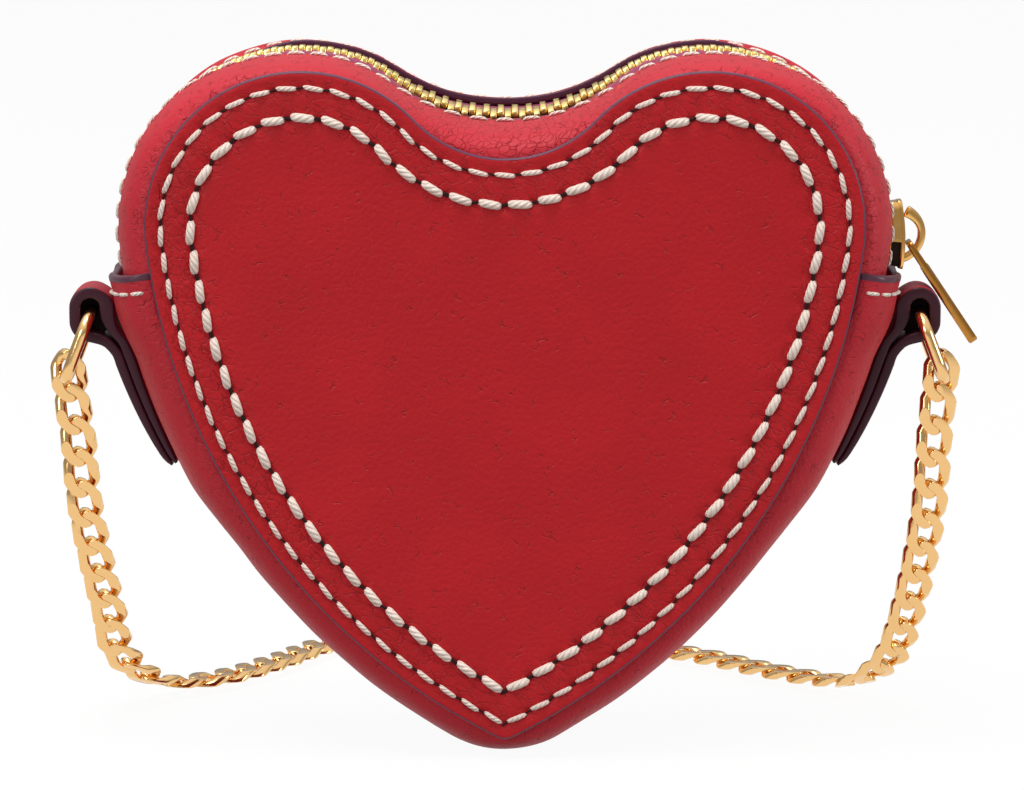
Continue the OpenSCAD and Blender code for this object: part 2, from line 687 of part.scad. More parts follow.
module ring_shape() {
    side_bar = ring_h - 2 * ring_corner;
    half_w = ring_bar / 2 + ring_corner;
    for (z = [0, -ring_h])
        translate([0, ring_bar / 2, z]) rotate([90, 0, 0])
            cylinder(h = ring_bar, d = ring_wire, $fn = 32);
    for (y = [-half_w, half_w])
        translate([0, y, ring_corner - ring_h]) cylinder(h = side_bar, d = ring_wire, $fn = 32);
    for (sy = [0, 1]) for (sz = [0, 1])
        mirror([0, sy, 0])
            translate([0, ring_bar / 2, sz * (2 * ring_corner - ring_h) - ring_corner])
                rotate([0, 90, 0]) rotate([0, 0, (1 - sz) * 90])
                    rotate_extrude(angle = 90, $fn = 64) translate([ring_corner, 0])
                        circle(d = ring_wire, $fn = 32);
}

module ring_placed() {
    color(gold) translate([tab_x, 0, ring_z]) rotate([0, -ring_lean, 0]) ring_shape();
}

module right_ring() {
    ring_placed();
}

module left_ring() {
    mirror([1, 0, 0]) ring_placed();
}

// The chain's route: from the left ring down and back to the floor, behind the purse and up
// to the right ring. Its points are chosen by hand.
route = [[-86.4, 1, 66.9], [-85.6, 2.4, 60], [-84.9, 6, 47.5], [-83.2, 11.5, 34.5],
    [-81.2, 18.5, 22], [-80, 24.6, 13], [-75, 32.3, 6.1], [-68.1, 39.9, 2.9], [-58, 49, 2.35],
    [-48.5, 64, 2.35], [-40, 80, 2.35], [-29, 92, 2.35], [-14, 98.5, 2.35], [2, 98.5, 2.35],
    [17, 93, 2.35], [27.5, 83.5, 2.35], [36, 74.5, 2.35], [44.5, 67, 2.35], [56.5, 53.5, 2.35],
    [68.5, 41.8, 2.8], [74.7, 33.7, 5.1], [79.8, 25.1, 11.6], [82.2, 18, 21], [84.4, 11, 34.5],
    [85.7, 5.5, 47.5], [86.1, 2.2, 59.5], [86.6, 1, 66.9]];
first_drop = 0.3;
ends = [[-ring_foot[0], 0, ring_foot[1] - first_drop], [ring_foot[0], 0, ring_foot[1] - first_drop]];
knots = concat([ends[0]], route, [ends[1]]);

// A smooth curve through the knots, as a fine line with the length so far at each point
function knot(i) = i < 0 ? 2 * knots[0] - knots[1]
    : i >= len(knots) ? 2 * knots[len(knots) - 1] - knots[len(knots) - 2] : knots[i];
function curve(i, t) = 0.5 * ((2 * knot(i)) + (knot(i + 1) - knot(i - 1)) * t
    + (2 * knot(i - 1) - 5 * knot(i) + 4 * knot(i + 1) - knot(i + 2)) * t * t
    + (3 * knot(i) - knot(i - 1) - 3 * knot(i + 1) + knot(i + 2)) * t * t * t);
fine_n = 6;
fine = concat([for (i = [0:len(knots) - 2]) for (k = [0:fine_n - 1]) curve(i, k / fine_n)],
    [knots[len(knots) - 1]]);
run_to = [for (i = 0, d = 0; i < len(fine);
    d = d + (i + 1 < len(fine) ? norm(fine[i + 1] - fine[i]) : 0), i = i + 1) d];
route_l = run_to[len(run_to) - 1];
function route_at(s) =
    s <= 0 ? fine[0] + (fine[1] - fine[0]) * s / run_to[1]
    : s >= route_l ? fine[len(fine) - 1] + (fine[len(fine) - 1] - fine[len(fine) - 2])
        * (s - route_l) / (route_l - run_to[len(fine) - 2])
    : let (i = len([for (r = run_to) if (r <= s) r]) - 1)
        fine[i] + (fine[i + 1] - fine[i]) * (s - run_to[i]) / (run_to[i + 1] - run_to[i]);

// Links stand every pitch along the route; their flat sides face front on the drops and lie
// level on the floor
link_n = round(route_l / link_pitch) + 1;
link_step = route_l / (link_n - 1);
function unit(v) = v / norm(v);
function link_dir(s) = unit(route_at(s + link_step / 2) - route_at(s - link_step / 2));
function link_side(t) = let (w = 1 - t[2] * t[2]) unit(cross([0, 1 - w, w], t));

// A point of a link's wire before its twist: q runs round the link, a round the wire
straight = link_hl - link_hw;
link_marks = concat([for (a = [0:30:180]) [a, 1]], [for (a = [180:30:360]) [a, -1]]);
function wire_point(m, a) =
    let (r = link_hw + link_wire / 2 * cos(a), x = r * cos(m[0]),
        z = straight * m[1] + r * sin(m[0]), y = link_wire / 2 * sin(a),
        turn = link_twist / 2 * z / link_hl)
    [x * cos(turn) - y * sin(turn), x * sin(turn) + y * cos(turn), z];

module link(k) {
    s = k * link_step;
    t = link_dir(s);
    x = link_side(t);
    y = cross(t, x);
    c = route_at(s);
    n = len(link_marks);
    points = [for (m = link_marks) for (a = [0:60:300])
        let (p = wire_point(m, a)) c + p[0] * x + p[1] * y + p[2] * t];
    faces = [for (i = [0:n - 1]) for (j = [0:5])
        let (p = i * 6 + j, q = i * 6 + (j + 1) % 6, r = (i + 1) % n * 6 + j,
            v = (i + 1) % n * 6 + (j + 1) % 6) each [[p, v, q], [p, r, v]]];
    polyhedron(points, faces, convexity = 4);
}

drop_n = 13;
middle_n = floor(link_n / 2);

module links(from, to) {
    color(gold) for (k = [from:to]) link(k);
}

module chain_left_drop() {
    links(0, drop_n - 1);
}

module chain_left_floor() {
    links(drop_n, middle_n - 1);
}

module chain_right_floor() {
    links(middle_n, link_n - drop_n - 1);
}

module chain_right_drop() {
    links(link_n - drop_n, link_n - 1);
}

front_panel();
back_panel();
front_stiffener();
back_stiffener();
front_lining();
back_lining();
lower_gusset();
gusset_lining();
zip_strip_front();
zip_strip_back();
zip_tape_front();
zip_tape_back();
zip_teeth_front();
zip_teeth_back();
zip_stops();
zip_slider();
zip_pull();
front_edge_stitches();
front_rope_stitches();
back_edge_stitches();
back_rope_stitches();
zip_stitches();
cuff_stitches();
left_tab();
right_tab();
left_ring();
right_ring();
chain_left_drop();
chain_left_floor();
chain_right_floor();
chain_right_drop();
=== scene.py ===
"""Looks of the heart shaped purse. Shapes are worked in millimetres, and each mesh is brought to
metres when its piece is finished. Z is up, X across, and the front panel faces -Y."""
import math
import random

import bmesh
import bpy
from mathutils import Matrix, Vector, noise


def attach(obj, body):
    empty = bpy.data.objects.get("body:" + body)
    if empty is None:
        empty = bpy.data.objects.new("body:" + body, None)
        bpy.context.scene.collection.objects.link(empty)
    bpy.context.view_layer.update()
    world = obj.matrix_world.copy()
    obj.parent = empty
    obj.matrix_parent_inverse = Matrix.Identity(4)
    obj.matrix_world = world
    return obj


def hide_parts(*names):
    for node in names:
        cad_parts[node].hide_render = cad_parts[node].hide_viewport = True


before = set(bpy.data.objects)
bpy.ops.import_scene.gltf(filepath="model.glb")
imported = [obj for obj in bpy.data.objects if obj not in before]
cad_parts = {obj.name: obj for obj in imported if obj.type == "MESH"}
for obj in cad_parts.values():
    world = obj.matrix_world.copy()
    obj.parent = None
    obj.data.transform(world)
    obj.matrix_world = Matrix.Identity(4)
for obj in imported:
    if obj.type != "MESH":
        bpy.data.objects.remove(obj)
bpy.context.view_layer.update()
chance = random.Random(7)
MM = 0.001

# sizes of the purse as the solids have them, in millimetres and degrees

# T is a thickness, L a length, W a width, H a height, R a radius and A an angle; D and Y run
# through the depth, and ROW is a stitch row's distance from the cut edge
HALF_DEPTH = 22.0
GUSSET_T, GUSSET_D, GUSSET_INSET = 1.6, 19.95, 1.0
ZIP_LEATHER_T, ZIP_LEATHER_Y = 1.5, 4.5
TAPE_OFF, TAPE_T, TAPE_W = 1.65, 0.5, 8.0
TOOTH_PITCH, TOOTH_L, TOOTH_H, TOOTH_W, TOOTH_REACH, JAW_D = 2.74, 1.24, 2.2, 3.8, 0.9, 1.4
# the power of the rounded section that the gusset is rolled to
ROLL = 2.6
EDGE_ROW, EDGE_PITCH, EDGE_STITCH = 3.2, 5.2, (4.3, 1.05)
ROPE_ROW, ROPE_PITCH, ROPE_STITCH = 9.0, 5.85, (5.0, 1.75)
ZIP_ROW_Y, ZIP_PITCH, ZIP_STITCH = 6.5, 4.7, (3.6, 0.75)
CUFF_Z, CUFF_LAP, CUFF_LIFT, STRIP_LIFT, CUFF_ROW, CUFF_PITCH = 94.8, 9.0, 3.0, 1.5, 3.6, 3.7
# the angles on the side's arc from which the lower gusset stands out, under the tabs and then
# under the cuffs, over how many degrees it does, and the cuffs' clearance over the zip leathers
STRIP_FROM, STRIP_OVER, CUFF_FROM, CUFF_OVER, CUFF_CLEAR = -36.0, 8.0, -17.0, 4.5, 0.15
# the slider on the right lobe, its plates and wings, its neck, and the arch over it
SLIDER_A, SLIDER_L, SLIDER_W, SLIDER_RISE = -2.5, 12.8, 8.4, 3.0
PLATE_GAP, PLATE_T, LOWER_T, WING_HALF = 0.2, 0.9, 1.0, 0.36
NECK_L, NECK_IN, NECK_REST = 3.2, 0.64, 0.95
ARCH_HALF_L, ARCH_RISE, ARCH_T, ARCH_W = 5.8, 4.2, 1.5, 2.2
PULL_L, PULL_W, PULL_T, EYE_BAR, EYE_L = 23.3, 6.0, 1.9, 1.3, 5.4
# a tab: the middle and the radius of its loop, its strap and slot, its two tails
TAB_Z, TAB_END_Z, TAB_R, TAB_T, TAB_SLOT, TAB_W = 88.0, 57.8, 4.15, 2.25, 2.7, 11.0
TAB_STAND, TAIL_TOP_T, TAIL_END_T = 0.8, 4.7, 1.7
RING_WIRE, RING_H, RING_CORNER, RING_BAR, RING_LEAN = 2.4, 13.5, 4.0, 11.6, 20.9
# half a link's length and width between its wire's middles, and the links of each drop
LINK_WIRE, LINK_HL, LINK_HW, LINK_PITCH, DROP_LINKS = 1.85, 4.65, 2.85, 6.95, 13
LINING_T, LINING_Y, LINING_HALF, LINING_TOP, GLUE = 0.5, 18.85, 17.7, -19.0, 0.5

# what is drawn otherwise than the solids have it, as the photo shows it:
# the front zip leather lies lower than the back one, in the dip and on the lobes, and its
# edge keeps further from the teeth
DROP_DIP, DROP_TOP, DROP_FADE, FRONT_GAP = 3.6, 1.9, 34.0, 0.9
# in the dip, where the slider doesn't reach, the zip leans forward with it
LEAN_DROP, LEAN_FULL, LEAN_NONE, LEAN_W = 3.2, 6.0, 28.0, 10.4
# the whole crown line sinks there, and the back zip leather curls down on the outer shoulders
DIP_SINK, SINK_FULL, SINK_RUN, ZIP_SINK = 1.0, 8.0, 20.0, 0.6
BACK_SAG, SAG_RUN, SAG_BASE_Y, BACK_SUNK = 1.4, 14.0, 8.0, 0.4
# the slider has a back plate, which stands further out towards its lower end
BACK_PLATE_T, BACK_TILT = 0.95, 0.07
# the cuffs' cut ends are turned, up in the middle and down beside the panels, to lie level,
# and painted a little way over their faces
CUFF_RISE, CUFF_RISE_MID, CUFF_FALL, CUFF_PAINT = 1.0, 0.25, 0.6, 1.25
# slow waves in the leather, to a millimetre
WAVES, PANEL_WAVES = 0.11, 0.12
# a tab's loop is thicker where it stands next to the gusset, up to just clear of it
TAB_FILL, WASHER_R = 0.7, 1.6
# the links are twisted to the left, broad, thin, and ground flat at a distance from the middle
LINK_TWIST, LINK_FACE, LINK_HALF_T, LINK_FLAT = -95.0, 2.35, 1.15, 0.98


def on_arc(centre, radius, angle):
    """The point of an arc at an angle."""
    a = math.radians(angle)
    return (centre[0] + radius * math.cos(a), centre[1] + radius * math.sin(a))


def arc(start, end, radius):
    """The length of an arc between two angles."""
    return math.radians(end - start) * radius


def ray(angle):
    """The unit vector at an angle in the plane of X and Z."""
    a = math.radians(angle)
    return Vector((math.cos(a), 0, math.sin(a)))


def angle_to(start, end):
    return math.degrees(math.atan2(end[1] - start[1], end[0] - start[0]))


def smooth(x):
    """0 up to 0, 1 from 1 on, eased between them."""
    x = min(1.0, max(0.0, x))
    return x * x * (3 - 2 * x)


def bell(x, middle, width):
    """1 at the middle, falling off to both sides."""
    return math.exp(-((x - middle) / width) ** 2)


def steps(start, end, n):
    """The ends of n even steps from start to end."""
    return [start + (end - start) * i / n for i in range(n + 1)]


class Heart:
    """The right half of a heart as four tangent arcs: tip, long side, lobe and dip."""

    def __init__(self, lobe, lobe_r, side_r, tip_z, tip_r, dip_r):
        tip = (0.0, tip_z + tip_r)
        r1, r2 = side_r - lobe_r, side_r - tip_r
        d = math.dist(lobe, tip)
        a = (r1 * r1 - r2 * r2 + d * d) / (2 * d)
        h = math.sqrt(r1 * r1 - a * a)
        ux, uz = (tip[0] - lobe[0]) / d, (tip[1] - lobe[1]) / d
        foot = (lobe[0] + a * ux, lobe[1] + a * uz)
        side = min((foot[0] - h * uz, foot[1] + h * ux), (foot[0] + h * uz, foot[1] - h * ux))
        dip = (0.0, lobe[1] + math.sqrt((lobe_r + dip_r) ** 2 - lobe[0] ** 2))
        self.tip, self.side, self.lobe, self.dip = tip, side, lobe, dip
        self.tip_r, self.side_r, self.lobe_r, self.dip_r = tip_r, side_r, lobe_r, dip_r
        self.tip_a = angle_to(side, tip)
        self.side_a = angle_to(side, lobe)
        self.lobe_a = angle_to(lobe, dip)

    def at(self, u, off):
        """A point at u, 0 to 4 from the tip to the dip, drawn in by off."""
        if u < 1:
            return on_arc(self.tip, self.tip_r - off, -90 + (self.tip_a + 90) * u)
        if u < 2:
            return on_arc(self.side, self.side_r - off,
                          self.tip_a + (self.side_a - self.tip_a) * (u - 1))
        if u < 3:
            return on_arc(self.lobe, self.lobe_r - off,
                          self.side_a + (self.lobe_a - self.side_a) * (u - 2))
        return on_arc(self.dip, self.dip_r + off,
                      self.lobe_a - 180 + (90 - self.lobe_a) * (u - 3))

    def side_start(self, off):
        """Where the side arc starts when drawn in by off."""
        if off < self.tip_r:
            return self.tip_a
        return -math.degrees(math.acos(-self.side[0] / (self.side_r - off)))

    def lengths(self, off):
        """The lengths of the four arcs, drawn in by off."""
        return (arc(-90, self.tip_a, self.tip_r - off) if off < self.tip_r else 0.0,
                arc(self.side_start(off), self.side_a, self.side_r - off),
                arc(self.side_a, self.lobe_a, self.lobe_r - off),
                arc(90, self.lobe_a, self.dip_r + off))

    def half_at(self, off, s):
        """Point and outward angle at a distance s from the tip along the right half."""
        arcs = ((self.tip, self.tip_r - off, -90),
                (self.side, self.side_r - off, self.side_start(off)),
                (self.lobe, self.lobe_r - off, self.side_a))
        for (centre, radius, first), length in zip(arcs, self.lengths(off)):
            if s < length:
                a = first + math.degrees(s / radius)
                return (*on_arc(centre, radius, a), a)
            s -= length
        a = self.lobe_a - 180 - math.degrees(s / (self.dip_r + off))
        return (*on_arc(self.dip, self.dip_r + off, a), a + 180)

    def loop_at(self, off, s):
        """The same round the whole heart."""
        half = sum(self.lengths(off))
        if s < half:
            return self.half_at(off, s)
        x, z, a = self.half_at(off, 2 * half - s)
        return (-x, z, 180 - a)


PANEL = Heart((39.7, 105.8), 30.5, 126.0, 4.2, 3.0, 24.5)
CROWN = Heart((40.0, 104.0), 36.5, 131.0, -0.5, 24.0, 45.0)


def side_angle(z):
    """The angle of a height on the crown line's side arc."""
    return math.degrees(math.asin((z - CROWN.side[1]) / CROWN.side_r))


def side_u(angle):
    """The place round the heart of an angle on that arc."""
    return 1 + (angle - CROWN.tip_a) / (CROWN.side_a - CROWN.tip_a)


def u_angle(u):
    """The angle on that arc of a place round the heart."""
    return CROWN.tip_a + (CROWN.side_a - CROWN.tip_a) * (u - 1)


def side_deg(length):
    """The angle that a length takes on that arc."""
    return math.degrees(length / CROWN.side_r)


CUFF_A = side_angle(CUFF_Z)
UNDER_U = side_u(CUFF_A - side_deg(CUFF_LAP))


def lift(angle):
    """How far the lower gusset stands out of the crown line."""
    return (STRIP_LIFT * smooth((angle - STRIP_FROM) / STRIP_OVER)
            + (CUFF_LIFT - STRIP_LIFT) * smooth((angle - CUFF_FROM) / CUFF_OVER))


def lift_u(u):
    """The same by the place round the heart."""
    return 0.0 if u < 1 else lift(u_angle(u))


def edge_lift_u(u):
    """The same beside the panels."""
    full = GUSSET_T + CUFF_CLEAR
    return 0.0 if u < 1 else full * smooth((u_angle(u) - CUFF_FROM) / CUFF_OVER)


def roll_phi(y):
    """The angle of a depth on the rolled section."""
    return math.degrees(math.asin((y / GUSSET_D) ** (ROLL / 2)))


def roll_share(phi):
    """How much of the way a place lies from the panel's line to the crown line."""
    return 0.0 if abs(phi) > 89.9 else math.cos(math.radians(phi)) ** (2 / ROLL)


def skin(u, side, phi, crown_off, edge_off):
    """A point of the rolled gusset: u round the heart, phi through the depth."""
    sink = 0.0 if u < 2 else dip_sink(CROWN.at(u, 0.0)[0])
    p, m = PANEL.at(u, GUSSET_INSET + edge_off), CROWN.at(u, crown_off + sink)
    f = roll_share(phi)
    y = GUSSET_D * math.copysign(abs(math.sin(math.radians(phi))) ** (2 / ROLL), phi)
    return Vector((side * (p[0] + (m[0] - p[0]) * f), y, max(0.0, p[1] + (m[1] - p[1]) * f)))


def worn_skin(u, side, phi, crown_off, edge_off, rough):
    """The same, with the slow waves that soft leather keeps."""
    wave = rough * noise.noise(skin(u, side, phi, crown_off, edge_off) * WAVES)
    return skin(u, side, phi, crown_off - wave, edge_off - wave)


def front_drop(x):
    """How far the front zip leather lies below the crown line, at a distance from the middle."""
    x = abs(x) - CROWN.lobe[0]
    if x < 0:
        return DROP_DIP + (DROP_TOP - DROP_DIP) * smooth(1 + x / CROWN.lobe[0])
    return DROP_TOP * (1 - smooth(x / DROP_FADE))


def dip_sink(x):
    """How far the whole crown line sinks in the dip."""
    return DIP_SINK * (1 - smooth((abs(x) - SINK_FULL) / SINK_RUN))


def zip_lean(x):
    """How much lower the zip lies at the front leather than at the back one."""
    return LEAN_DROP * (1 - smooth((abs(x) - LEAN_FULL) / (LEAN_NONE - LEAN_FULL)))


def back_sag(x, y):
    """How far the back zip leather curls down to the zip on the lobes' outer shoulders."""
    share = 1 - smooth((y - ZIP_LEATHER_Y) / ZIP_LEATHER_Y)
    return BACK_SAG * smooth((abs(x) - CROWN.lobe[0]) / SAG_RUN) * share


def run_lengths(line):
    """How far along a line each of its points lies."""
    out = [0.0]
    for here, there in zip(line, line[1:]):
        out.append(out[-1] + (there - here).length)
    return out


def along(line, runs, s):
    """The point of a line at a distance s from its start."""
    i = 0
    while i < len(line) - 2 and runs[i + 1] <= s:
        i += 1
    return line[i] + (line[i + 1] - line[i]) * ((s - runs[i]) / (runs[i + 1] - runs[i]))


# making meshes

def row_edges(bm, row):
    """The edges round a closed row of vertices."""
    return [bm.edges.get(pair) for pair in zip(row, row[1:] + row[:1])]


def verts_of(geom):
    return [v for v in geom if isinstance(v, bmesh.types.BMVert)]


def first_row(bm, places):
    """A closed row of vertices joined by edges."""
    row = [bm.verts.new(p) for p in places]
    for pair in zip(row, row[1:] + row[:1]):
        bm.edges.new(pair)
    return row


def grow(bm, row, places):
    """Extrudes a closed row of vertices and puts the new row at places."""
    made = bmesh.ops.extrude_edge_only(bm, edges=row_edges(bm, row))["geom"]
    new = set(verts_of(made))
    out = []
    for v, place in zip(row, places):
        w = next(e.other_vert(v) for e in v.link_edges if e.other_vert(v) in new)
        w.co = place
        out.append(w)
    return out


def loft(bm, rows, ring=False):
    """A closed skin through rows of places: capped at both ends, or joined into a ring."""
    made = [first_row(bm, rows[0])]
    for places in rows[1:]:
        made.append(grow(bm, made[-1], places))
    ends = [row_edges(bm, made[0]), row_edges(bm, made[-1])]
    if ring:
        bmesh.ops.bridge_loops(bm, edges=ends[0] + ends[1])
    else:
        for edges in ends:
            bmesh.ops.contextual_create(bm, geom=edges)
    return made


def scatter(bm, places):
    """Copies what the mesh holds to each place, a matrix, and takes the pattern piece out."""
    pattern = bm.verts[:] + bm.edges[:] + bm.faces[:]
    first = bm.verts[:]
    for place in places:
        made = bmesh.ops.duplicate(bm, geom=pattern)["geom"]
        bmesh.ops.transform(bm, matrix=place, verts=verts_of(made))
    bmesh.ops.delete(bm, geom=first, context="VERTS")


def thicken(bm, sheet):
    """Gives the flat faces in a mesh a thickness along a vector."""
    made = bmesh.ops.extrude_face_region(bm, geom=bm.faces[:])["geom"]
    bmesh.ops.translate(bm, vec=sheet, verts=verts_of(made))


def placed(origin, way, out, size=(1.0, 1.0, 1.0)):
    """The matrix that lays a pattern piece, X along the way and Z out, at a place."""
    x = Vector(way).normalized()
    y = Vector(out).cross(x).normalized()
    turn = Matrix((x, y, x.cross(y))).transposed().to_4x4()
    return Matrix.Translation(Vector(origin)) @ turn @ Matrix.Diagonal((*size, 1.0))


def soften(bm, width, segments=1, limit=40.0):
    """Breaks the sharp edges of everything in the mesh."""
    sharp = [e for e in bm.edges
             if len(e.link_faces) == 2 and e.calc_face_angle(0.0) > math.radians(limit)]
    bmesh.ops.bevel(bm, geom=sharp, offset=width, segments=segments, profile=0.5,
                    affect="EDGES", material=-1)


def shown(name, bm, finish):
    """Turns a bmesh into an object with a finish."""
    mesh = bpy.data.meshes.new(name)
    bm.to_mesh(mesh)
    bm.free()
    mesh.materials.append(finish)
    ob = bpy.data.objects.new(name, mesh)
    bpy.context.scene.collection.objects.link(ob)
    return ob


def piece(name, bm, body, finish, nodes=(), sharp=None, turn=True):
    """Turns a bmesh in millimetres into a piece of the purse that rides on a body."""
    if turn:
        bmesh.ops.recalc_face_normals(bm, faces=bm.faces)
    bmesh.ops.scale(bm, vec=(MM, MM, MM), verts=bm.verts)
    ob = shown(name, bm, finish)
    ob.data.polygons.foreach_set("use_smooth", [True] * len(ob.data.polygons))
    if sharp:
        ob.data.set_sharp_from_angle(angle=math.radians(sharp))
    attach(ob, body)
    if nodes:
        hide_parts(*nodes)


def lofted(name, rows, body, finish, nodes=(), sharp=None, ring=False):
    """A piece that is a single loft."""
    bm = bmesh.new()
    loft(bm, rows, ring)
    piece(name, bm, body, finish, nodes, sharp)


def leather(name, rows, finish, paint, strain):
    """A leather of the purse, lofted. Each vertex holds how much edge paint it has and how far
    the hide is strained there; paint(i, j) and strain(i, j) give it by row and place."""
    bm = bmesh.new()
    for layer_name in ("paint", "strain"):
        bm.verts.layers.float.new(layer_name)
    made = loft(bm, rows)
    for layer_name, value in (("paint", paint), ("strain", strain)):
        layer = bm.verts.layers.float[layer_name]
        for i, row in enumerate(made):
            for j, v in enumerate(row):
                v[layer] = value(i, j)
    piece(name, bm, "purse", finish, [name])


# finishes


def srgb(code):
    """A hex colour as linear light."""
    parts = [int(code[i:i + 2], 16) / 255 for i in (1, 3, 5)]
    return tuple(c / 12.92 if c < 0.04045 else ((c + 0.055) / 1.055) ** 2.4
                 for c in parts) + (1.0,)


def new_finish(name):
    mat = bpy.data.materials.new(name)
    mat.use_nodes = True
    tree = mat.node_tree
    return mat, tree, tree.nodes["Principled BSDF"]


def feed(tree, node, inputs):
    """Gives a node its inputs, as values or as sockets to link."""
    for key, value in inputs.items():
        if isinstance(value, bpy.types.NodeSocket):
            tree.links.new(value, node.inputs[key])
        else:
            node.inputs[key].default_value = value


def add(tree, kind, inputs=None, **settings):
    """Adds a node with its settings and its inputs."""
    node = tree.nodes.new("ShaderNode" + kind)
    for key, value in settings.items():
        setattr(node, key, value)
    feed(tree, node, inputs or {})
    return node


def calc(tree, operation, *values, **settings):
    """A sum worked by a node; each value is a number or a socket."""
    return add(tree, "Math", dict(enumerate(values)), operation=operation, **settings).outputs[0]


def scaled(tree, value, source, target=(0.0, 1.0), soft=False):
    """A value brought from one range to another and kept inside it, eased at the ends or not."""
    ends = dict(zip(("From Min", "From Max", "To Min", "To Max"), (*source, *target)))
    return add(tree, "MapRange", {"Value": value, **ends},
               interpolation_type="SMOOTHSTEP" if soft else "LINEAR").outputs[0]


def speckle(tree, where, scale, detail=2.0, out="Fac"):
    """Soft noise, so many spots to a unit."""
    return add(tree, "TexNoise",
               {"Vector": where, "Scale": scale, "Detail": detail}).outputs[out]


def blend(tree, share, first, second):
    """A colour between two, each a hex colour or a socket."""
    first, second = [srgb(c) if isinstance(c, str) else c for c in (first, second)]
    return add(tree, "Mix", {0: share, 6: first, 7: second}, data_type="RGBA").outputs[2]


def toned(tree, colour, value):
    """A hex colour made lighter and darker by a value round 1."""
    return add(tree, "HueSaturation", {"Color": srgb(colour), "Value": value}).outputs[0]


def relief(tree, height, strength, distance=0.0002):
    """The normal over a height; the distance is the height of 1, in metres."""
    return add(tree, "Bump", {"Height": height, "Distance": distance,
                              "Strength": strength}).outputs[0]


def grained_leather(name, body, crease_shade, paint, slack, depth, lie, size):
    """Milled calf leather with a satin pigment finish: soft pebbles under a millimetre across,
    and fine creases that lie one way, more of them where the hide is slack or where thread
    pulls it. Its cut edges are sealed with edge paint."""
    mat, tree, surface = new_finish(name)
    where = add(tree, "TexCoord").outputs["Object"]
    mm = add(tree, "VectorMath", {0: where, 1: (1000.0,) * 3}, operation="MULTIPLY").outputs[0]
    pebble = add(tree, "TexVoronoi", {"Vector": mm, "Scale": 1.15, "Smoothness": 0.7},
                 feature="SMOOTH_F1").outputs["Distance"]
    # the creases are borders of cells, stretched along the hide's lie and bent by its drift
    drift = speckle(tree, mm, 0.45, out="Color")
    bent = add(tree, "VectorMath", {0: drift, 1: (1.8,) * 3}, operation="MULTIPLY")
    at = add(tree, "VectorMath", {0: mm, 1: bent.outputs[0]}, operation="ADD")
    lain = add(tree, "Mapping", {"Vector": at.outputs[0], "Rotation": (0.0, lie, 0.0),
                                 "Scale": size}, vector_type="TEXTURE")
    cell = add(tree, "TexVoronoi", {"Vector": lain.outputs[0], "Scale": 1.0},
               feature="DISTANCE_TO_EDGE").outputs["Distance"]
    line = scaled(tree, cell, (0.0, 0.08), (1.0, 0.0), soft=True)
    patch = speckle(tree, mm, 0.4, 3.0)
    kept = scaled(tree, patch, (0.56 - slack, 0.7 - slack), soft=True)
    strain = add(tree, "Attribute", attribute_name="strain").outputs["Fac"]
    lines = calc(tree, "MULTIPLY", line, calc(tree, "ADD", kept, strain, use_clamp=True))
    # colour: a broad mottle, and painted shade darkening the creases
    mottle = scaled(tree, speckle(tree, mm, 0.05, 4.0), (0.3, 0.7), (0.94, 1.06))
    shade_in_creases = blend(tree, calc(tree, "MULTIPLY", lines, 0.36), toned(tree, body, mottle), crease_shade)
    # edge paint, laid on by hand, so its border wavers by a tenth of a millimetre
    edge = add(tree, "Attribute", attribute_name="paint").outputs["Fac"]
    border = calc(tree, "MULTIPLY_ADD", speckle(tree, mm, 1.2), 0.3, edge)
    wet = scaled(tree, border, (0.6, 0.72), soft=True)
    # heights: pebbles, creases and pores, none of them under the paint
    low = calc(tree, "MULTIPLY", pebble, -0.3)
    sunk = calc(tree, "MULTIPLY_ADD", lines, -0.55, low)
    pore = speckle(tree, mm, 2.6)
    height = calc(tree, "MULTIPLY_ADD", pore, 0.14, sunk)
    grain = calc(tree, "MULTIPLY", height, calc(tree, "SUBTRACT", 1.0, wet))
    rough = scaled(tree, pore, (0.0, 1.0), (0.46, 0.6))
    feed(tree, surface, {"Base Color": blend(tree, wet, shade_in_creases, paint),
                         "Normal": relief(tree, grain, 0.9, 0.0002 * depth),
                         "Roughness": calc(tree, "MULTIPLY_ADD", wet, -0.18, rough),
                         "Specular IOR Level": 0.3})
    return mat


def gilt(name, colour, rough, waviness):
    """Metal polished and gold plated: bright, with a faint haze and a wave left by the wheel."""
    mat, tree, surface = new_finish(name)
    where = add(tree, "TexCoord").outputs["Object"]
    haze = speckle(tree, where, 900.0, 3.0)
    wave = speckle(tree, where, 260.0, 1.0)
    feed(tree, surface, {"Base Color": srgb(colour), "Metallic": 1.0,
                         "Roughness": scaled(tree, haze, (0.3, 0.7), (rough * 0.8, rough * 1.3)),
                         "Normal": relief(tree, wave, waviness)})
    return mat


def twisted_thread(name, light, groove_shade, turns, lean):
    """Waxed linen thread laid of three plies: pale and matt, with painted shade in the line
    between plies.
    """
    mat, tree, surface = new_finish(name)
    spots = add(tree, "TexCoord").outputs
    axes = add(tree, "SeparateXYZ", {"Vector": spots["UV"]}).outputs
    coil = calc(tree, "MULTIPLY_ADD", axes["Y"], turns, calc(tree, "MULTIPLY", axes["X"], lean))
    ply = calc(tree, "MULTIPLY", calc(tree, "FRACT", coil), math.pi)
    hump = calc(tree, "SINE", ply)
    fuzz = speckle(tree, spots["Object"], 5200.0)
    hue = toned(tree, light, scaled(tree, fuzz, (0.0, 1.0), (0.92, 1.04)))
    shade = scaled(tree, hump, (0.0, 0.5), (0.6, 0.0))
    height = calc(tree, "MULTIPLY_ADD", fuzz, 0.15, hump)
    feed(tree, surface, {"Base Color": blend(tree, shade, hue, groove_shade), "Roughness": 0.78,
                         "Normal": relief(tree, height, 0.9), "Sheen Weight": 0.15})
    return mat


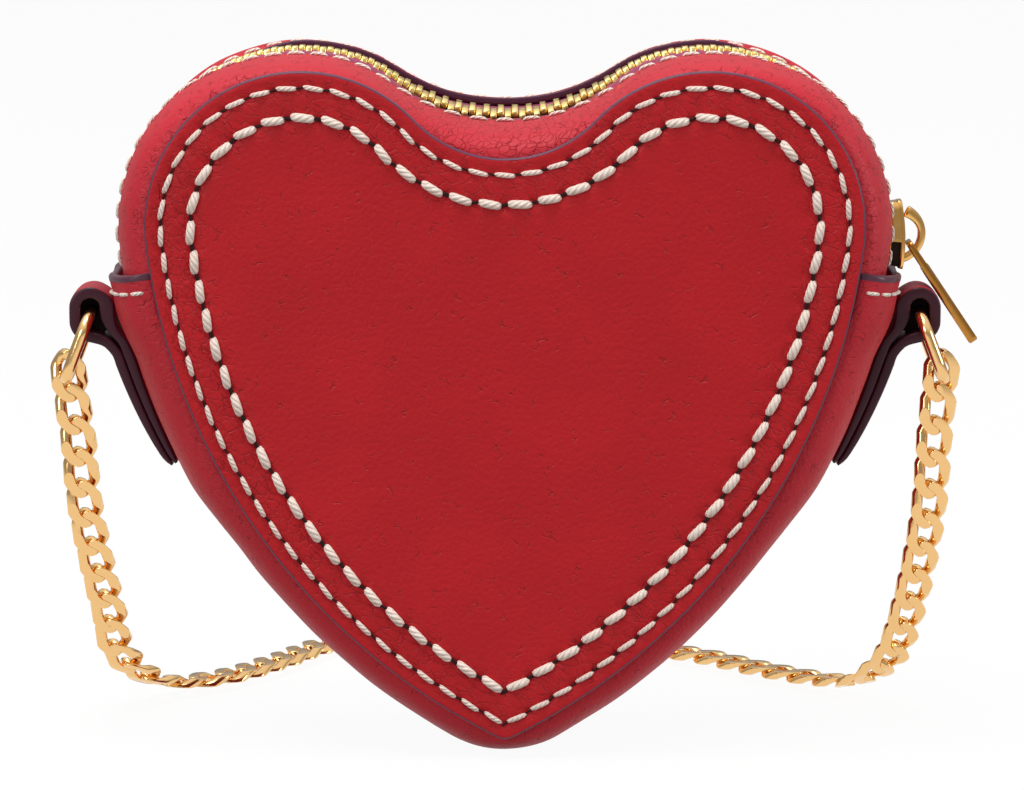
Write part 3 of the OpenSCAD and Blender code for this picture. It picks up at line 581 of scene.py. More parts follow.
def plain_cloth(name, colour, pitch):
    """Plain woven cloth: threads over and under each other at a pitch in millimetres."""
    mat, tree, surface = new_finish(name)
    axes = add(tree, "SeparateXYZ", {"Vector": add(tree, "TexCoord").outputs["Object"]}).outputs
    x, y, z = [calc(tree, "SINE", calc(tree, "MULTIPLY", axes[axis], 1000 * math.pi / pitch))
               for axis in "XYZ"]
    weave = calc(tree, "ADD", calc(tree, "MULTIPLY", x, z), y)
    shade = scaled(tree, weave, (-2.0, 2.0), (0.8, 1.12))
    feed(tree, surface, {"Base Color": toned(tree, colour, shade), "Roughness": 0.9,
                         "Normal": relief(tree, weave, 0.6, 0.00008)})
    return mat


def dark_matt(name, light, dark):
    """A dark matt surface with a faint spot in it, used for painted shade."""
    mat, tree, surface = new_finish(name)
    spot = speckle(tree, add(tree, "TexCoord").outputs["Object"], 2500.0)
    feed(tree, surface, {"Base Color": blend(tree, spot, dark, light), "Roughness": 0.65,
                         "Specular IOR Level": 0.2})
    return mat


# the panels, gusset and zip leathers are one red hide: the gusset's and the zip leathers' lighter
# red is painted light, for faces turned up to the lamps, and the darker second colour of each is
# painted shade in its creases
# sizes of the creases, in millimetres along the hide's lie, through it and across it
panel_leather = grained_leather("milled_calf_panel", "#BC161F", "#7A1018", "#64364E",
                                0.0, 1.6, 0.65, (3.0, 2.4, 1.5))
gusset_leather_lit = grained_leather("milled_calf_gusset_lit", "#C22633", "#7A101C", "#5A3242",
                                 0.0, 1.8, 0.0, (2.2, 4.0, 1.3))
zip_leather_lit = grained_leather("milled_calf_zip_lit", "#C62735", "#7A101C", "#4A1C36",
                              0.06, 1.9, -0.5, (1.8, 2.8, 1.1))
tab_leather = grained_leather("milled_calf_tab", "#A62634", "#6E1119", "#3E1424",
                              0.0, 0.8, 0.0, (2.0, 3.0, 1.0))
chain_gilt = gilt("gold_plated_brass_chain", "#F0C384", 0.15, 0.45)
slider_gilt = gilt("gold_plated_zinc_slider", "#ECB668", 0.12, 0.6)
# the pull's gilt is darker and browner than the slider's: painted shade, for the dim room that its
# flat side reflects
pull_gilt_shaded = gilt("gold_plated_zinc_pull_shaded", "#B9803A", 0.2, 0.12)
tooth_brass = gilt("polished_yellow_brass_teeth", "#FBE294", 0.3, 0.2)
rope_thread = twisted_thread("linen_thread_thick", "#FBEADD", "#CDB09A", 3.5, 4.0)
fine_thread = twisted_thread("linen_thread_fine", "#F8E4D8", "#D2B3A3", 4.0, 3.0)
zip_thread = twisted_thread("linen_thread_zip", "#FFF3E6", "#DDC2AE", 3.0, 3.0)
tape_cloth = plain_cloth("woven_polyester_tape", "#A8506E", 0.55)
lining_cloth = plain_cloth("plain_cotton_lining", "#C9AE84", 0.45)
board = plain_cloth("bonded_leather_board", "#8C7B62", 0.9)
# dark matt pieces stand where there is only shade: painted shade in the awl holes, in the slider's
# throat and in the tabs' slots
hole_shade = dark_matt("painted_hole_shade", "#300A0E", "#0E0304")
throat_shade = dark_matt("painted_throat_shade", "#3A2A18", "#17100A")
slot_shade = dark_matt("painted_slot_shade", "#251018", "#0E0608")

# the two panels, cut as hearts, with a painted edge and a valley under each stitch row


def heart_row(off, y, n):
    """Places round the panel's line, drawn in, at a depth."""
    total = 2 * sum(PANEL.lengths(off))
    places = [PANEL.loop_at(off, total * k / n) for k in range(n)]
    return [Vector((p[0], y, p[1])) for p in places]


def stitch_count(off, pitch):
    return round(2 * sum(PANEL.lengths(off)) / pitch)


# drawn in from the edge, below the face, and how much of it is edge paint
PANEL_ROWS = [(2.0, 2.0, 0.0), (0.6, 2.0, 1.0), (0.15, 1.9, 1.0), (0.0, 1.6, 1.0), (0.0, 1.0, 1.0),
              (0.0, 0.5, 1.0), (0.07, 0.24, 1.0), (0.22, 0.07, 0.85), (0.45, 0.0, 0.35),
              (0.75, -0.04, 0.0), (1.3, -0.03, 0.0), (2.0, 0.06, 0.0), (2.5, 0.15, 0.0),
              (2.9, 0.22, 0.0), (3.2, 0.25, 0.0), (3.5, 0.2, 0.0), (3.9, 0.08, 0.0),
              (4.6, -0.06, 0.0), (5.6, -0.09, 0.0), (6.8, -0.06, 0.0), (7.6, 0.0, 0.0),
              (8.1, 0.08, 0.0), (8.6, 0.18, 0.0), (9.0, 0.22, 0.0), (9.4, 0.18, 0.0),
              (9.9, 0.08, 0.0), (10.5, -0.02, 0.0), (11.6, -0.08, 0.0), (13.5, -0.07, 0.0),
              (17.0, -0.03, 0.0), (22.0, 0.0, 0.0)]


def panel(name, side):
    """A heart of 2 mm leather. The stitches pull it down at their holes."""
    n = 576
    pulls = ((EDGE_ROW, stitch_count(EDGE_ROW, EDGE_PITCH), 0.8, 0.16),
             (ROPE_ROW, stitch_count(ROPE_ROW, ROPE_PITCH), 1.5, 0.22))
    rows = []
    for off, depth, _ in PANEL_ROWS:
        row = heart_row(off, 0.0, n)
        for k, p in enumerate(row):
            down = depth
            if depth < 0.4:
                for place, count, reach, pull in pulls:
                    near = bell(off, place, reach)
                    hole = 0.5 + 0.5 * math.cos(2 * math.pi * count * k / n)
                    down += pull * near * (hole ** 2 - 0.3)
                down += 0.05 * noise.noise(p * PANEL_WAVES) * smooth((off - 1) / 3)
            p.y = side * (HALF_DEPTH - down)
        rows.append(row)
    leather(name, rows, panel_leather, lambda i, j: PANEL_ROWS[i][2],
            lambda i, j: (0.8 * bell(PANEL_ROWS[i][0], 8.4, 2.4)
                          + 0.6 * bell(PANEL_ROWS[i][0], 3.6, 2.2)))


panel("front_panel", -1)
panel("back_panel", 1)

# the gusset's leathers: one strip under the tip, and two along the zip

SIDE_L = arc(CROWN.tip_a, CROWN.side_a, CROWN.side_r)


def cuff_level(u, phi, d):
    """Turns a cuff's places up on its way round the slider and down beside the panels, so
    that its cut end lies nearly level."""
    share = roll_share(phi)
    y = GUSSET_D * math.sin(math.radians(abs(phi))) ** (2 / ROLL)
    rise = CUFF_RISE_MID + (CUFF_RISE - CUFF_RISE_MID) * smooth((y - SLIDER_W / 2 - 0.4) / 3.4)
    moved = rise * share - CUFF_FALL * (1 - share)
    return u + moved / SIDE_L * (1 - smooth((d - 4.0) / 12.0))


def cuff_stations():
    """Stations of the lower gusset from the right cuff's cut end to the left one's: place
    round the heart, side and distance from the nearer cut end."""
    near = [0.0, 0.05, 0.18, 0.4, 0.75, 1.0, 1.2, 1.32, 1.44, 1.6, 2.1, 2.6, 3.1, 3.6, 4.1, 4.7,
            5.6]
    length = arc(CROWN.tip_a, CUFF_A, CROWN.side_r)
    near += steps(near[-1], length, round((length - near[-1]) / 1.5))[1:]
    down = [(side_u(CUFF_A - side_deg(d)), d) for d in near]
    down += [(1 - i / 10, length + i) for i in range(1, 11)]
    return [(u, 1, d) for u, d in down] + [(u, -1, d) for u, d in reversed(down[:-1])]


def lower_gusset():
    """One strip of 1.6 mm leather round the tip. Its cut ends lap over the zip and are painted
    and rolled; a row of stitches crosses each lap."""
    outer, inner = steps(-90, 90, 44), steps(90, -90, 16)
    stations = cuff_stations()
    round_r = 0.78
    rows = []
    for u, side, d in stations:
        thin = round_r - math.sqrt(round_r ** 2 - (round_r - d) ** 2) if d < round_r else 0.0
        proud = 0.12 * smooth(d / 0.8) * (1 - smooth((d - 1.3) / 0.2))
        valley = 0.22 * bell(d, CUFF_ROW, 0.7)
        face = -lift_u(u) + thin - proud + valley
        edge = -edge_lift_u(u) + thin - proud + valley
        back = GUSSET_T - lift_u(u)
        if u > UNDER_U - 0.001:
            back = min(-CUFF_CLEAR, back)
        row = []
        for phi in outer:
            tuck = (0.16 * smooth((abs(phi) - 62) / 28) * math.cos(2 * math.pi * d / EDGE_PITCH)
                    * smooth((d - 5) / 4))
            row.append(worn_skin(cuff_level(u, phi, d), side, phi, face + tuck, edge + tuck,
                                 0.14 * smooth((d - 3) / 5)))
        row += [skin(cuff_level(u, phi, d), side, phi, back - thin,
                     GUSSET_T - edge_lift_u(u) - thin) for phi in inner]
        rows.append(row)
    leather("lower_gusset", rows, gusset_leather_lit,
            lambda i, j: 1.0 if stations[i][2] < CUFF_PAINT else 0.0,
            lambda i, j: 0.3 * smooth((abs(outer[j]) - 55) / 30) if j < len(outer) else 0.0)


def top_stations():
    """Places over the top every 1.5 mm, from the right end of the zip to the left one."""
    us = steps(UNDER_U, 2, 14) + steps(2, 3, 64)[1:] + steps(3, 4, 20)[1:]
    return [(u, 1) for u in us] + [(u, -1) for u in reversed(us[:-1])]


# the zip leather's cut edge and its stitched valley: depth, drawn in, paint
STRIP_EDGE = [(5.3, 1.5, 0.0), (4.75, 1.46, 1.0), (4.55, 1.3, 1.0), (4.5, 1.0, 1.0),
              (4.5, 0.5, 1.0), (4.55, 0.2, 1.0), (4.72, 0.03, 0.9), (5.0, -0.04, 0.0),
              (5.5, -0.02, 0.0), (6.0, 0.06, 0.0), (6.5, 0.14, 0.0), (7.0, 0.06, 0.0),
              (7.6, -0.04, 0.0), (8.6, -0.06, 0.0), (10.0, -0.03, 0.0)]


def zip_strip(name, side_y):
    """The leather between the zip and a panel, with a painted cut edge and a stitched row."""
    front = side_y < 0
    over = []
    for y, off, paint in STRIP_EDGE:
        set_back = FRONT_GAP * (1 - smooth((y - ZIP_LEATHER_Y) / 2.0)) if front else 0.0
        over.append((roll_phi(y + set_back), off, paint, y))
    over += [(phi, 0.0, 0.0, 10.0) for phi in steps(over[-1][0], 90, 18)[1:]]
    over += [(phi, ZIP_LEATHER_T, 0.0, 0.0) for phi in steps(90, over[0][0], 8)[:-1]]
    stations = top_stations()
    rows = []
    for u, side in stations:
        x = CROWN.at(u, 0.0)[0]
        row = []
        for phi, off, paint, y in over:
            drop = front_drop(x) if front else back_sag(x, y) if y > 0 else 0.0
            face = off < 0.4 and paint == 0
            tuck = (0.18 * smooth((phi - 60) / 30) * math.cos(2 * math.pi * 18 * u)
                    if face else 0.0)
            row.append(worn_skin(u, side, side_y * phi, off + tuck + drop, off + tuck,
                                 0.16 if face else 0.0))
        rows.append(row)
    # the hide is drawn together in the dip, and has more creases there
    dip = [0.45 * (1 - smooth((CROWN.at(u, 0.0)[0] - 16) / 14)) for u, _ in stations]
    leather(name, rows, zip_leather_lit, lambda i, j: over[j][2],
            lambda i, j: (dip[i] + 0.25 * smooth((over[j][0] - 50) / 35)
                          if over[j][3] > 5.6 else 0.0))


def zip_tape(name, side_y):
    """Woven tape under the leather, with a thicker corded edge that the teeth grip. Past the
    slider's wings the front one turns down with its leather."""
    inner = TOOTH_W - TOOTH_REACH - JAW_D
    mid, far = TAPE_OFF + TAPE_T / 2, TAPE_OFF + TAPE_T
    # depth, drawn in, and how much of the leather's drop it follows
    section = [(inner, mid, 0), (inner + 0.1, mid - 0.32, 0), (inner + 0.5, mid - 0.4, 0),
               (inner + 0.9, mid - 0.3, 0), (inner + 1.1, TAPE_OFF, 0), (4.45, TAPE_OFF, 0),
               (5.15, TAPE_OFF, 1), (6.5, TAPE_OFF, 1), (inner + TAPE_W, TAPE_OFF, 1),
               (inner + TAPE_W, far, 1), (6.5, far, 1), (4.75, far, 1), (4.25, far, 0),
               (inner + 1.1, far, 0), (inner + 0.9, mid + 0.3, 0), (inner + 0.5, mid + 0.4, 0),
               (inner + 0.1, mid + 0.32, 0)]
    rows = []
    for u, side in top_stations():
        x = CROWN.at(u, 0.0)[0]
        lean = zip_lean(x)
        turn = front_drop(x) - lean if side_y < 0 else 0.0
        rows.append([skin(u, side, side_y * roll_phi(y),
                          off + share * turn + lean * min(1, max(0, 0.5 - side_y * y / LEAN_W)),
                          off) for y, off, share in section])
    lofted(name, rows, "purse", tape_cloth, [name])


lower_gusset()
FACES = ((-1, "front"), (1, "back"))
for strip_side, strip_name in FACES:
    zip_strip("zip_strip_" + strip_name, strip_side)
    zip_tape("zip_tape_" + strip_name, strip_side)

# boards and linings inside

for stiff in ("front_stiffener", "back_stiffener"):
    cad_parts[stiff].data.materials.clear()
    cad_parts[stiff].data.materials.append(board)


def flat_lining(name, side):
    """Cotton cut as the panel is and glued to the board behind it."""
    off = GUSSET_INSET + GUSSET_T + GLUE
    rows = [heart_row(off, side * y, 240) for y in (LINING_Y, LINING_Y - LINING_T)]
    lofted(name, rows, "purse", lining_cloth, [name], sharp=40)


def gusset_lining():
    """Cotton behind the lower gusset, ending below the zip's lap."""
    off = GUSSET_T + GLUE
    us = steps(0.1, 1, 4) + steps(1, side_u(LINING_TOP), 40)[1:]
    stations = [(u, 1) for u in reversed(us)] + [(u, -1) for u in us[1:]]
    inner = LINING_HALF / GUSSET_D
    rows = []
    for u, side in stations:
        row = [skin(u, side, phi, off, off) for phi in steps(-90, 90, 20)]
        row += [skin(u, side, phi, off + LINING_T, off + LINING_T)
                for phi in steps(90, -90, 20)]
        rows.append([Vector((p.x, p.y * inner, p.z)) for p in row])
    lofted("gusset_lining", rows, "purse", lining_cloth, ["gusset_lining"],
           sharp=40)


flat_lining("front_lining", -1)
flat_lining("back_lining", 1)
gusset_lining()

# stitches


def thread_pattern(bm):
    """One stitch, a unit long and wide: a full bar of thread, narrow where it goes in."""
    uv = bm.loops.layers.uv.new("UVMap")
    sides = 8
    marks = [(-0.5, 0.12, -0.4), (-0.45, 0.3, -0.1), (-0.32, 0.46, 0.18), (0.0, 0.5, 0.28),
             (0.32, 0.46, 0.18), (0.45, 0.3, -0.1), (0.5, 0.12, -0.4)]
    turns = [math.radians(360 * j / sides) for j in range(sides)]
    made = loft(bm, [[Vector((x, r * math.cos(a), rise + r * 0.9 * math.sin(a))) for a in turns]
                     for x, r, rise in marks])
    spot = {v: (j / sides, marks[i][0] + 0.5) for i, row in enumerate(made)
            for j, v in enumerate(row)}
    for face in bm.faces:
        across = [spot[v][0] for v in face.verts]
        wraps = max(across) - min(across) > 0.5
        for loop in face.loops:
            a, share = spot[loop.vert]
            loop[uv].uv = (a + 1.0 if wraps and a < 0.5 else a, share)
    bmesh.ops.recalc_face_normals(bm, faces=bm.faces)


def stitched(name, places, finish):
    """A row of thread: one stitch copied along it."""
    bm = bmesh.new()
    thread_pattern(bm)
    scatter(bm, places)
    piece(name, bm, "purse", finish, [name], turn=False)


def panel_row(side, off, pitch, size, lean):
    """Places of the stitches of one row on a panel, and of the holes between them."""
    total = 2 * sum(PANEL.lengths(off))
    n = stitch_count(off, pitch)
    y = side * HALF_DEPTH
    stitches, holes = [], []
    for i in range(n):
        x, z, a = PANEL.loop_at(off, total * (i + 0.5) / n)
        way = ray(a + 90 + lean + chance.uniform(-1.2, 1.2))
        wide = size[1] * chance.uniform(0.96, 1.04)
        stitches.append(placed((x, y, z), way, (0, side, 0),
                               (size[0] * chance.uniform(0.97, 1.03), wide, size[1])))
        x, z, a = PANEL.loop_at(off, total * i / n)
        holes.append(placed((x, y, z), ray(a + 90), (0, side, 0)))
    return stitches, holes


def shaded_holes(name, places, size):
    """Dark flat lumps in the awl holes, painted shade where the thread goes in: pulled long, each
    a little different.
    """
    bm = bmesh.new()
    bmesh.ops.create_icosphere(bm, subdivisions=2, radius=0.5)
    shaped = []
    for place in places:
        lean = Matrix.Rotation(chance.uniform(-0.3, 0.3), 4, "Z")
        long = size[0] * chance.uniform(0.85, 1.15)
        wide = size[1] * chance.uniform(0.8, 1.15)
        shaped.append(place @ lean @ Matrix.Diagonal((long, wide, size[2], 1.0)))
    scatter(bm, shaped)
    piece(name, bm, "purse", hole_shade, turn=False)


for row_side, row_name in FACES:
    done, dark = panel_row(row_side, EDGE_ROW, EDGE_PITCH, EDGE_STITCH, 5.0 * row_side)
    stitched(row_name + "_edge_stitches", done, fine_thread)
    shaded_holes(row_name + "_edge_holes", dark, (1.8, 0.5, 0.4))
    done, dark = panel_row(row_side, ROPE_ROW, ROPE_PITCH, ROPE_STITCH, 7.0 * row_side)
    stitched(row_name + "_rope_stitches", done, rope_thread)
    shaded_holes(row_name + "_rope_holes", dark, (2.2, 0.75, 0.5))


def zip_row_places():
    """Rows along both zip leathers, from lap to lap."""
    lens = CROWN.lengths(0.0)
    start = lens[0] + arc(CROWN.tip_a, CUFF_A, CROWN.side_r) + 1.0
    run = 2 * (sum(lens) - start)
    n = int(run / ZIP_PITCH)
    long, wide = ZIP_STITCH
    out = []
    for side_y in (-1, 1):
        for i in range(n):
            x, z, a = CROWN.loop_at(0.0, start + run * (i + 0.5) / n)
            up = ray(a)
            if side_y < 0:
                drop = front_drop(x) * roll_share(roll_phi(ZIP_ROW_Y))
            else:
                drop = BACK_SUNK + back_sag(x, ZIP_ROW_Y) - back_sag(x, SAG_BASE_Y)
            drop += dip_sink(x)
            out.append(placed(Vector((x, side_y * ZIP_ROW_Y, z)) - up * drop,
                              (-up.z, 0.05, up.x), up, (long, wide, wide)))
    return out


def cuff_row_places():
    """A row across each lap, a little below its end, from panel to panel."""
    a = CUFF_A - side_deg(CUFF_ROW)
    u = side_u(a)
    out = []
    for side in (1, -1):
        line = [skin(cuff_level(u, phi, CUFF_ROW), side, phi, -lift_u(u), -edge_lift_u(u))
                for phi in steps(-87, 87, 60)]
        runs = run_lengths(line)
        up = Vector((-side * math.sin(math.radians(a)), 0, math.cos(math.radians(a))))
        n = round(runs[-1] / CUFF_PITCH)
        for i in range(n):
            p, q = [along(line, runs, runs[-1] * (i + k) / n) for k in (0.08, 0.92)]
            mid = (p + q) / 2
            out_of = (q - p).cross(up)
            if out_of.dot(Vector((side * 10.0, mid.y, 0))) < 0:
                out_of = -out_of
            out.append(placed(mid, q - p, out_of, ((q - p).length, 0.8, 0.8)))
    return out


stitched("zip_stitches", zip_row_places(), zip_thread)
stitched("cuff_stitches", cuff_row_places(), zip_thread)

# the zip's metal

TAPE_MID = TAPE_OFF + TAPE_T / 2


def lobe_deg(length):
    """The angle that a length takes on the lobe."""
    return math.degrees(length / CROWN.lobe_r)


NECK_A = SLIDER_A - lobe_deg(SLIDER_L / 2) + lobe_deg(NECK_IN)
FIRST_A = NECK_A + lobe_deg(NECK_L) + lobe_deg(NECK_REST)
ZIP_ARCS = CROWN.lengths(TAPE_MID)
FIRST_TOOTH = (ZIP_ARCS[0] + ZIP_ARCS[1]
               + arc(CROWN.side_a, FIRST_A, CROWN.lobe_r - TAPE_MID))
FAR_END = (2 * sum(ZIP_ARCS) - ZIP_ARCS[0]
           - arc(CROWN.tip_a, CUFF_A, CROWN.side_r - TAPE_MID) - TOOTH_PITCH)
TOOTH_N = int((FAR_END - FIRST_TOOTH) / TOOTH_PITCH)


def on_crown(s):
    """The frame on the zip's line: X along it, Y through the depth, Z out of the purse."""
    x, z, a = CROWN.loop_at(TAPE_MID, s)
    out, lean = ray(a), zip_lean(x)
    low = lean / 2 + ZIP_SINK * dip_sink(x)
    return (placed(Vector((x, 0, z)) - out * low, (out.z, 0, -out.x), out)
            @ Matrix.Rotation(math.atan2(lean, LEAN_W), 4, "X"))


def block(bm, x, y, z):
    """A box between pairs of limits."""
    size = (x[1] - x[0], y[1] - y[0], z[1] - z[0], 1.0)
    mid = Vector(((x[0] + x[1]) / 2, (y[0] + y[1]) / 2, (z[0] + z[1]) / 2))
    return bmesh.ops.create_cube(bm, size=1.0, matrix=Matrix.Translation(mid)
                                 @ Matrix.Diagonal(size))["verts"]


def zip_teeth(name, y, shift):
    """Cast teeth, each with a blunt head over the middle and its legs round the tape."""
    bm = bmesh.new()
    block(bm, (-TOOTH_L / 2, TOOTH_L / 2), y, (-TOOTH_H / 2, TOOTH_H / 2))
    soften(bm, 0.13)
    scatter(bm, [on_crown(FIRST_TOOTH + shift + i * TOOTH_PITCH) for i in range(TOOTH_N)])
    piece(name, bm, "purse", tooth_brass, [name], sharp=60, turn=False)


def zip_stops():
    """The bar across the zip's far end, and a clip on each tape where the slider rests."""
    bm = bmesh.new()
    block(bm, (-0.8, 0.8), (-1.35, 1.35), (-TOOTH_H / 2, TOOTH_H / 2))
    bmesh.ops.transform(bm, matrix=on_crown(FAR_END + TOOTH_PITCH / 2), verts=bm.verts)
    for y in ((-2.9, -1.5), (1.5, 2.9)):
        verts = block(bm, (-0.8, 0.8), y, (0.4, TOOTH_H / 2))
        bmesh.ops.transform(bm, matrix=on_crown(FIRST_TOOTH - TOOTH_PITCH * 0.75), verts=verts)
    soften(bm, 0.15, 2)
    piece("zip_stops", bm, "purse", tooth_brass, ["zip_stops"], sharp=50)


zip_teeth("zip_teeth_front", (TOOTH_REACH - TOOTH_W, TOOTH_REACH), 0.0)
zip_teeth("zip_teeth_back", (-TOOTH_REACH, TOOTH_W - TOOTH_REACH), TOOTH_PITCH / 2)
zip_stops()

PLATE_R = CROWN.lobe_r - TAPE_MID + TOOTH_H / 2 + PLATE_GAP
LOWER_R = CROWN.lobe_r - TAPE_MID - TOOTH_H / 2 - PLATE_GAP
BODY_R = CROWN.lobe_r + SLIDER_RISE


def lobe_point(r, y, s):
    """A place by the right lobe: radius, depth and distance up from the slider's middle."""
    x, z = on_arc(CROWN.lobe, r, SLIDER_A + lobe_deg(s))
    return Vector((x, y, z))


def curved_plate(bm, s_places, r0, r1, half_width, y_mid=None, tilt=0.0):
    """A plate bent round the lobe, its half width given along it, its corners rounded. A
    tilted one stands further out towards its lower end."""
    rows = []
    for s in s_places:
        w, mid = half_width(s), y_mid(s) if y_mid else 0.0
        y0, y1 = mid - w, mid + w
        c = min(0.28, (r1 - r0) / 3, (y1 - y0) / 3)
        corners = [(r0, y0 + c), (r0 + c * 0.3, y0 + c * 0.3), (r0 + c, y0), (r1 - c, y0),
                   (r1 - c * 0.3, y0 + c * 0.3), (r1, y0 + c), (r1, mid), (r1, y1 - c),
                   (r1 - c * 0.3, y1 - c * 0.3), (r1 - c, y1), (r0 + c, y1),
                   (r0 + c * 0.3, y1 - c * 0.3), (r0, y1 - c), (r0, mid)]
        rows.append([lobe_point(r - tilt * s, y, s) for r, y in corners])
    loft(bm, rows)


def shield_w(s):
    """The slider's half width: full at its lower end, narrower above, both ends rounded."""
    half = SLIDER_L / 2
    low = 1.0 - max(0.0, 1 - (s + half) / 1.8) ** 2 * 0.22
    top = 1.0 - max(0.0, 1 - (half - s) / 1.6) ** 2 * 0.25
    return SLIDER_W / 2 * low * top * (1.0 - 0.2 * smooth((s + 1.0) / 6.0))


def crown_rows():
    """The arch over the slider: joined to it below, its upper end standing free."""
    arch_r = (ARCH_HALF_L ** 2 + ARCH_RISE ** 2) / (2 * ARCH_RISE)
    turn = Matrix.Rotation(math.radians(-SLIDER_A), 3, "Y")
    out, up = turn @ Vector((1, 0, 0)), turn @ Vector((0, 0, 1))
    base = lobe_point(0.0, 0.0, 0.0) + out * (BODY_R + ARCH_RISE - arch_r)
    span = math.degrees(math.asin(ARCH_HALF_L / arch_r))
    low, high = -span - 9, span - 4
    rows = []
    for a in [low] + steps(low + 4, high - 4, 22) + [high - 2.2, high - 0.9, high]:
        thin = math.sqrt(max(0.02, 1 - max(0.0, (a - (high - 4)) / 4) ** 2))
        radial = out * math.cos(math.radians(a)) + up * math.sin(math.radians(a))
        thick = ARCH_T * (1.05 + 0.55 * smooth((a - 5) / (high - 5)))
        row = []
        for k in range(16):
            ct, st = math.cos(math.pi * k / 8), math.sin(math.pi * k / 8)
            square = thin * (abs(ct) ** 4 + abs(st) ** 4) ** -0.25
            row.append(base + radial * (arch_r - thick / 2 + thick / 2 * ct * square)
                       + Vector((0, ARCH_W / 2 * st * square, 0)))
        rows.append(row)
    return rows


def zip_slider():
    """A cast slider: a plate on each side of the zip with turned-in wings and a neck between
    them, a solid back above, an open throat below, and a back plate with the crown."""
    half = SLIDER_L / 2
    shield = [-half, 0.12 - half, 0.4 - half, 0.9 - half, 1.8 - half, -2.4, 0.0, 2.0, 4.0,
              half - 1.5, half - 0.8, half - 0.3, half]
    plate, tilt = BODY_R - BACK_PLATE_T, BACK_TILT
    bm = bmesh.new()
    curved_plate(bm, shield, PLATE_R, PLATE_R + PLATE_T, shield_w)
    curved_plate(bm, shield, LOWER_R - LOWER_T, LOWER_R, shield_w)
    curved_plate(bm, [-1.3, -1.18, -0.9] + [s * 0.97 for s in shield[6:]], PLATE_R + 0.5,
                 plate + 0.3, lambda s: 0.92 * shield_w(s), tilt=tilt)
    curved_plate(bm, [s * 0.99 for s in shield], plate, BODY_R,
                 lambda s: 0.8 * shield_w(s), tilt=tilt)
    for k in (-1, 1):
        for r0, r1 in ((CROWN.lobe_r - TAPE_OFF + 0.3, PLATE_R + 0.3),
                       (LOWER_R - 0.3, CROWN.lobe_r - TAPE_OFF - TAPE_T - 0.3)):
            curved_plate(bm, shield[1:-1], r0, r1, lambda s: WING_HALF,
                         lambda s, k=k: k * (shield_w(s) - WING_HALF))
    neck_s = arc(SLIDER_A, NECK_A, CROWN.lobe_r)
    curved_plate(bm, steps(neck_s, neck_s + NECK_L, 4), LOWER_R - 0.3, PLATE_R + 0.3,
                 lambda s: 0.9 - 0.25 * smooth((s - neck_s) / NECK_L))
    loft(bm, crown_rows())
    piece("zip_slider", bm, "slider", slider_gilt, ["zip_slider"], sharp=40)
    # a dark block in the open throat: painted shade for its hollow
    bm = bmesh.new()
    curved_plate(bm, steps(0.3 - half, -1.2, 4), PLATE_R + 0.6, plate + 0.2,
                 lambda s: 0.7 * shield_w(s), tilt=tilt)
    piece("zip_slider_throat", bm, "slider", throat_shade, sharp=40)


slider_turn = math.radians(SLIDER_A)
# the pull hangs on the crown, so far out of the slider and so far below its middle
PULL_OUT, PULL_LOW = 1.1, 2.0
PIVOT = (CROWN.lobe[0] + (BODY_R + PULL_OUT) * math.cos(slider_turn)
         + PULL_LOW * math.sin(slider_turn),
         CROWN.lobe[1] + (BODY_R + PULL_OUT) * math.sin(slider_turn)
         - PULL_LOW * math.cos(slider_turn))
TAB_TOP_A, TAB_END_A = side_angle(TAB_Z), side_angle(TAB_END_Z)
TAB_SEAT_R = CROWN.side_r + 0.2
TAB_X = on_arc(CROWN.side, TAB_SEAT_R + lift(TAB_TOP_A), TAB_TOP_A)[0] + TAB_STAND + TAB_R


def rounded_row(x0, x1, w, r):
    """Places round a flat rectangle with rounded corners, from x0 to x1 and w to each side."""
    out = []
    for cx, cy, a0 in ((x1 - r, w - r, 0), (x0 + r, w - r, 90), (x0 + r, r - w, 180),
                       (x1 - r, r - w, 270)):
        out += [Vector((*on_arc((cx, cy), r, a0 + 15 * k), 0)) for k in range(7)]
    return out


def zip_pull():
    """A flat bar with a long eye at its upper end, where it is thinner to pass the crown."""
    to_tab = (TAB_X - PIVOT[0], PIVOT[1] - TAB_Z)
    lean = (math.degrees(math.atan2(to_tab[1], to_tab[0]))
            - math.degrees(math.asin((TAB_R + PULL_T / 2 + 0.17) / math.hypot(*to_tab))))
    bm = bmesh.new()
    outer = first_row(bm, rounded_row(-EYE_BAR / 2, PULL_L, PULL_W / 2, 1.0))
    eye = first_row(bm, rounded_row(EYE_BAR / 2, EYE_L, (ARCH_W + 0.8) / 2, 0.6))
    bmesh.ops.bridge_loops(bm, edges=row_edges(bm, outer) + row_edges(bm, eye))
    thicken(bm, (0, 0, PULL_T))
    bmesh.ops.translate(bm, vec=(0, 0, -PULL_T / 2), verts=bm.verts)
    thin = EYE_BAR / PULL_T
    for v in bm.verts:
        v.co.z *= thin + (1 - thin) * smooth((v.co.x - EYE_L + 0.6) / 1.2)
    soften(bm, 0.32, 2)
    bmesh.ops.rotate(bm, verts=bm.verts, matrix=Matrix.Rotation(math.radians(lean), 3, "Y"))
    bmesh.ops.translate(bm, verts=bm.verts, vec=(PIVOT[0], 0, PIVOT[1]))
    piece("zip_pull", bm, "pull", pull_gilt_shaded, ["zip_pull"], sharp=30)


zip_slider()
zip_pull()

# the side tabs and their rings

# where the two tails part below the ring: X, Z and the strap's thickness
TAB_PART = [(77.6, 83.2, 2.0), (78.45, 85.0, 2.5), (78.9, 86.6, 2.9)]
TAB_NECK = [(80.7, 81.75, 2.1), (78.9, 80.9, 1.98)]


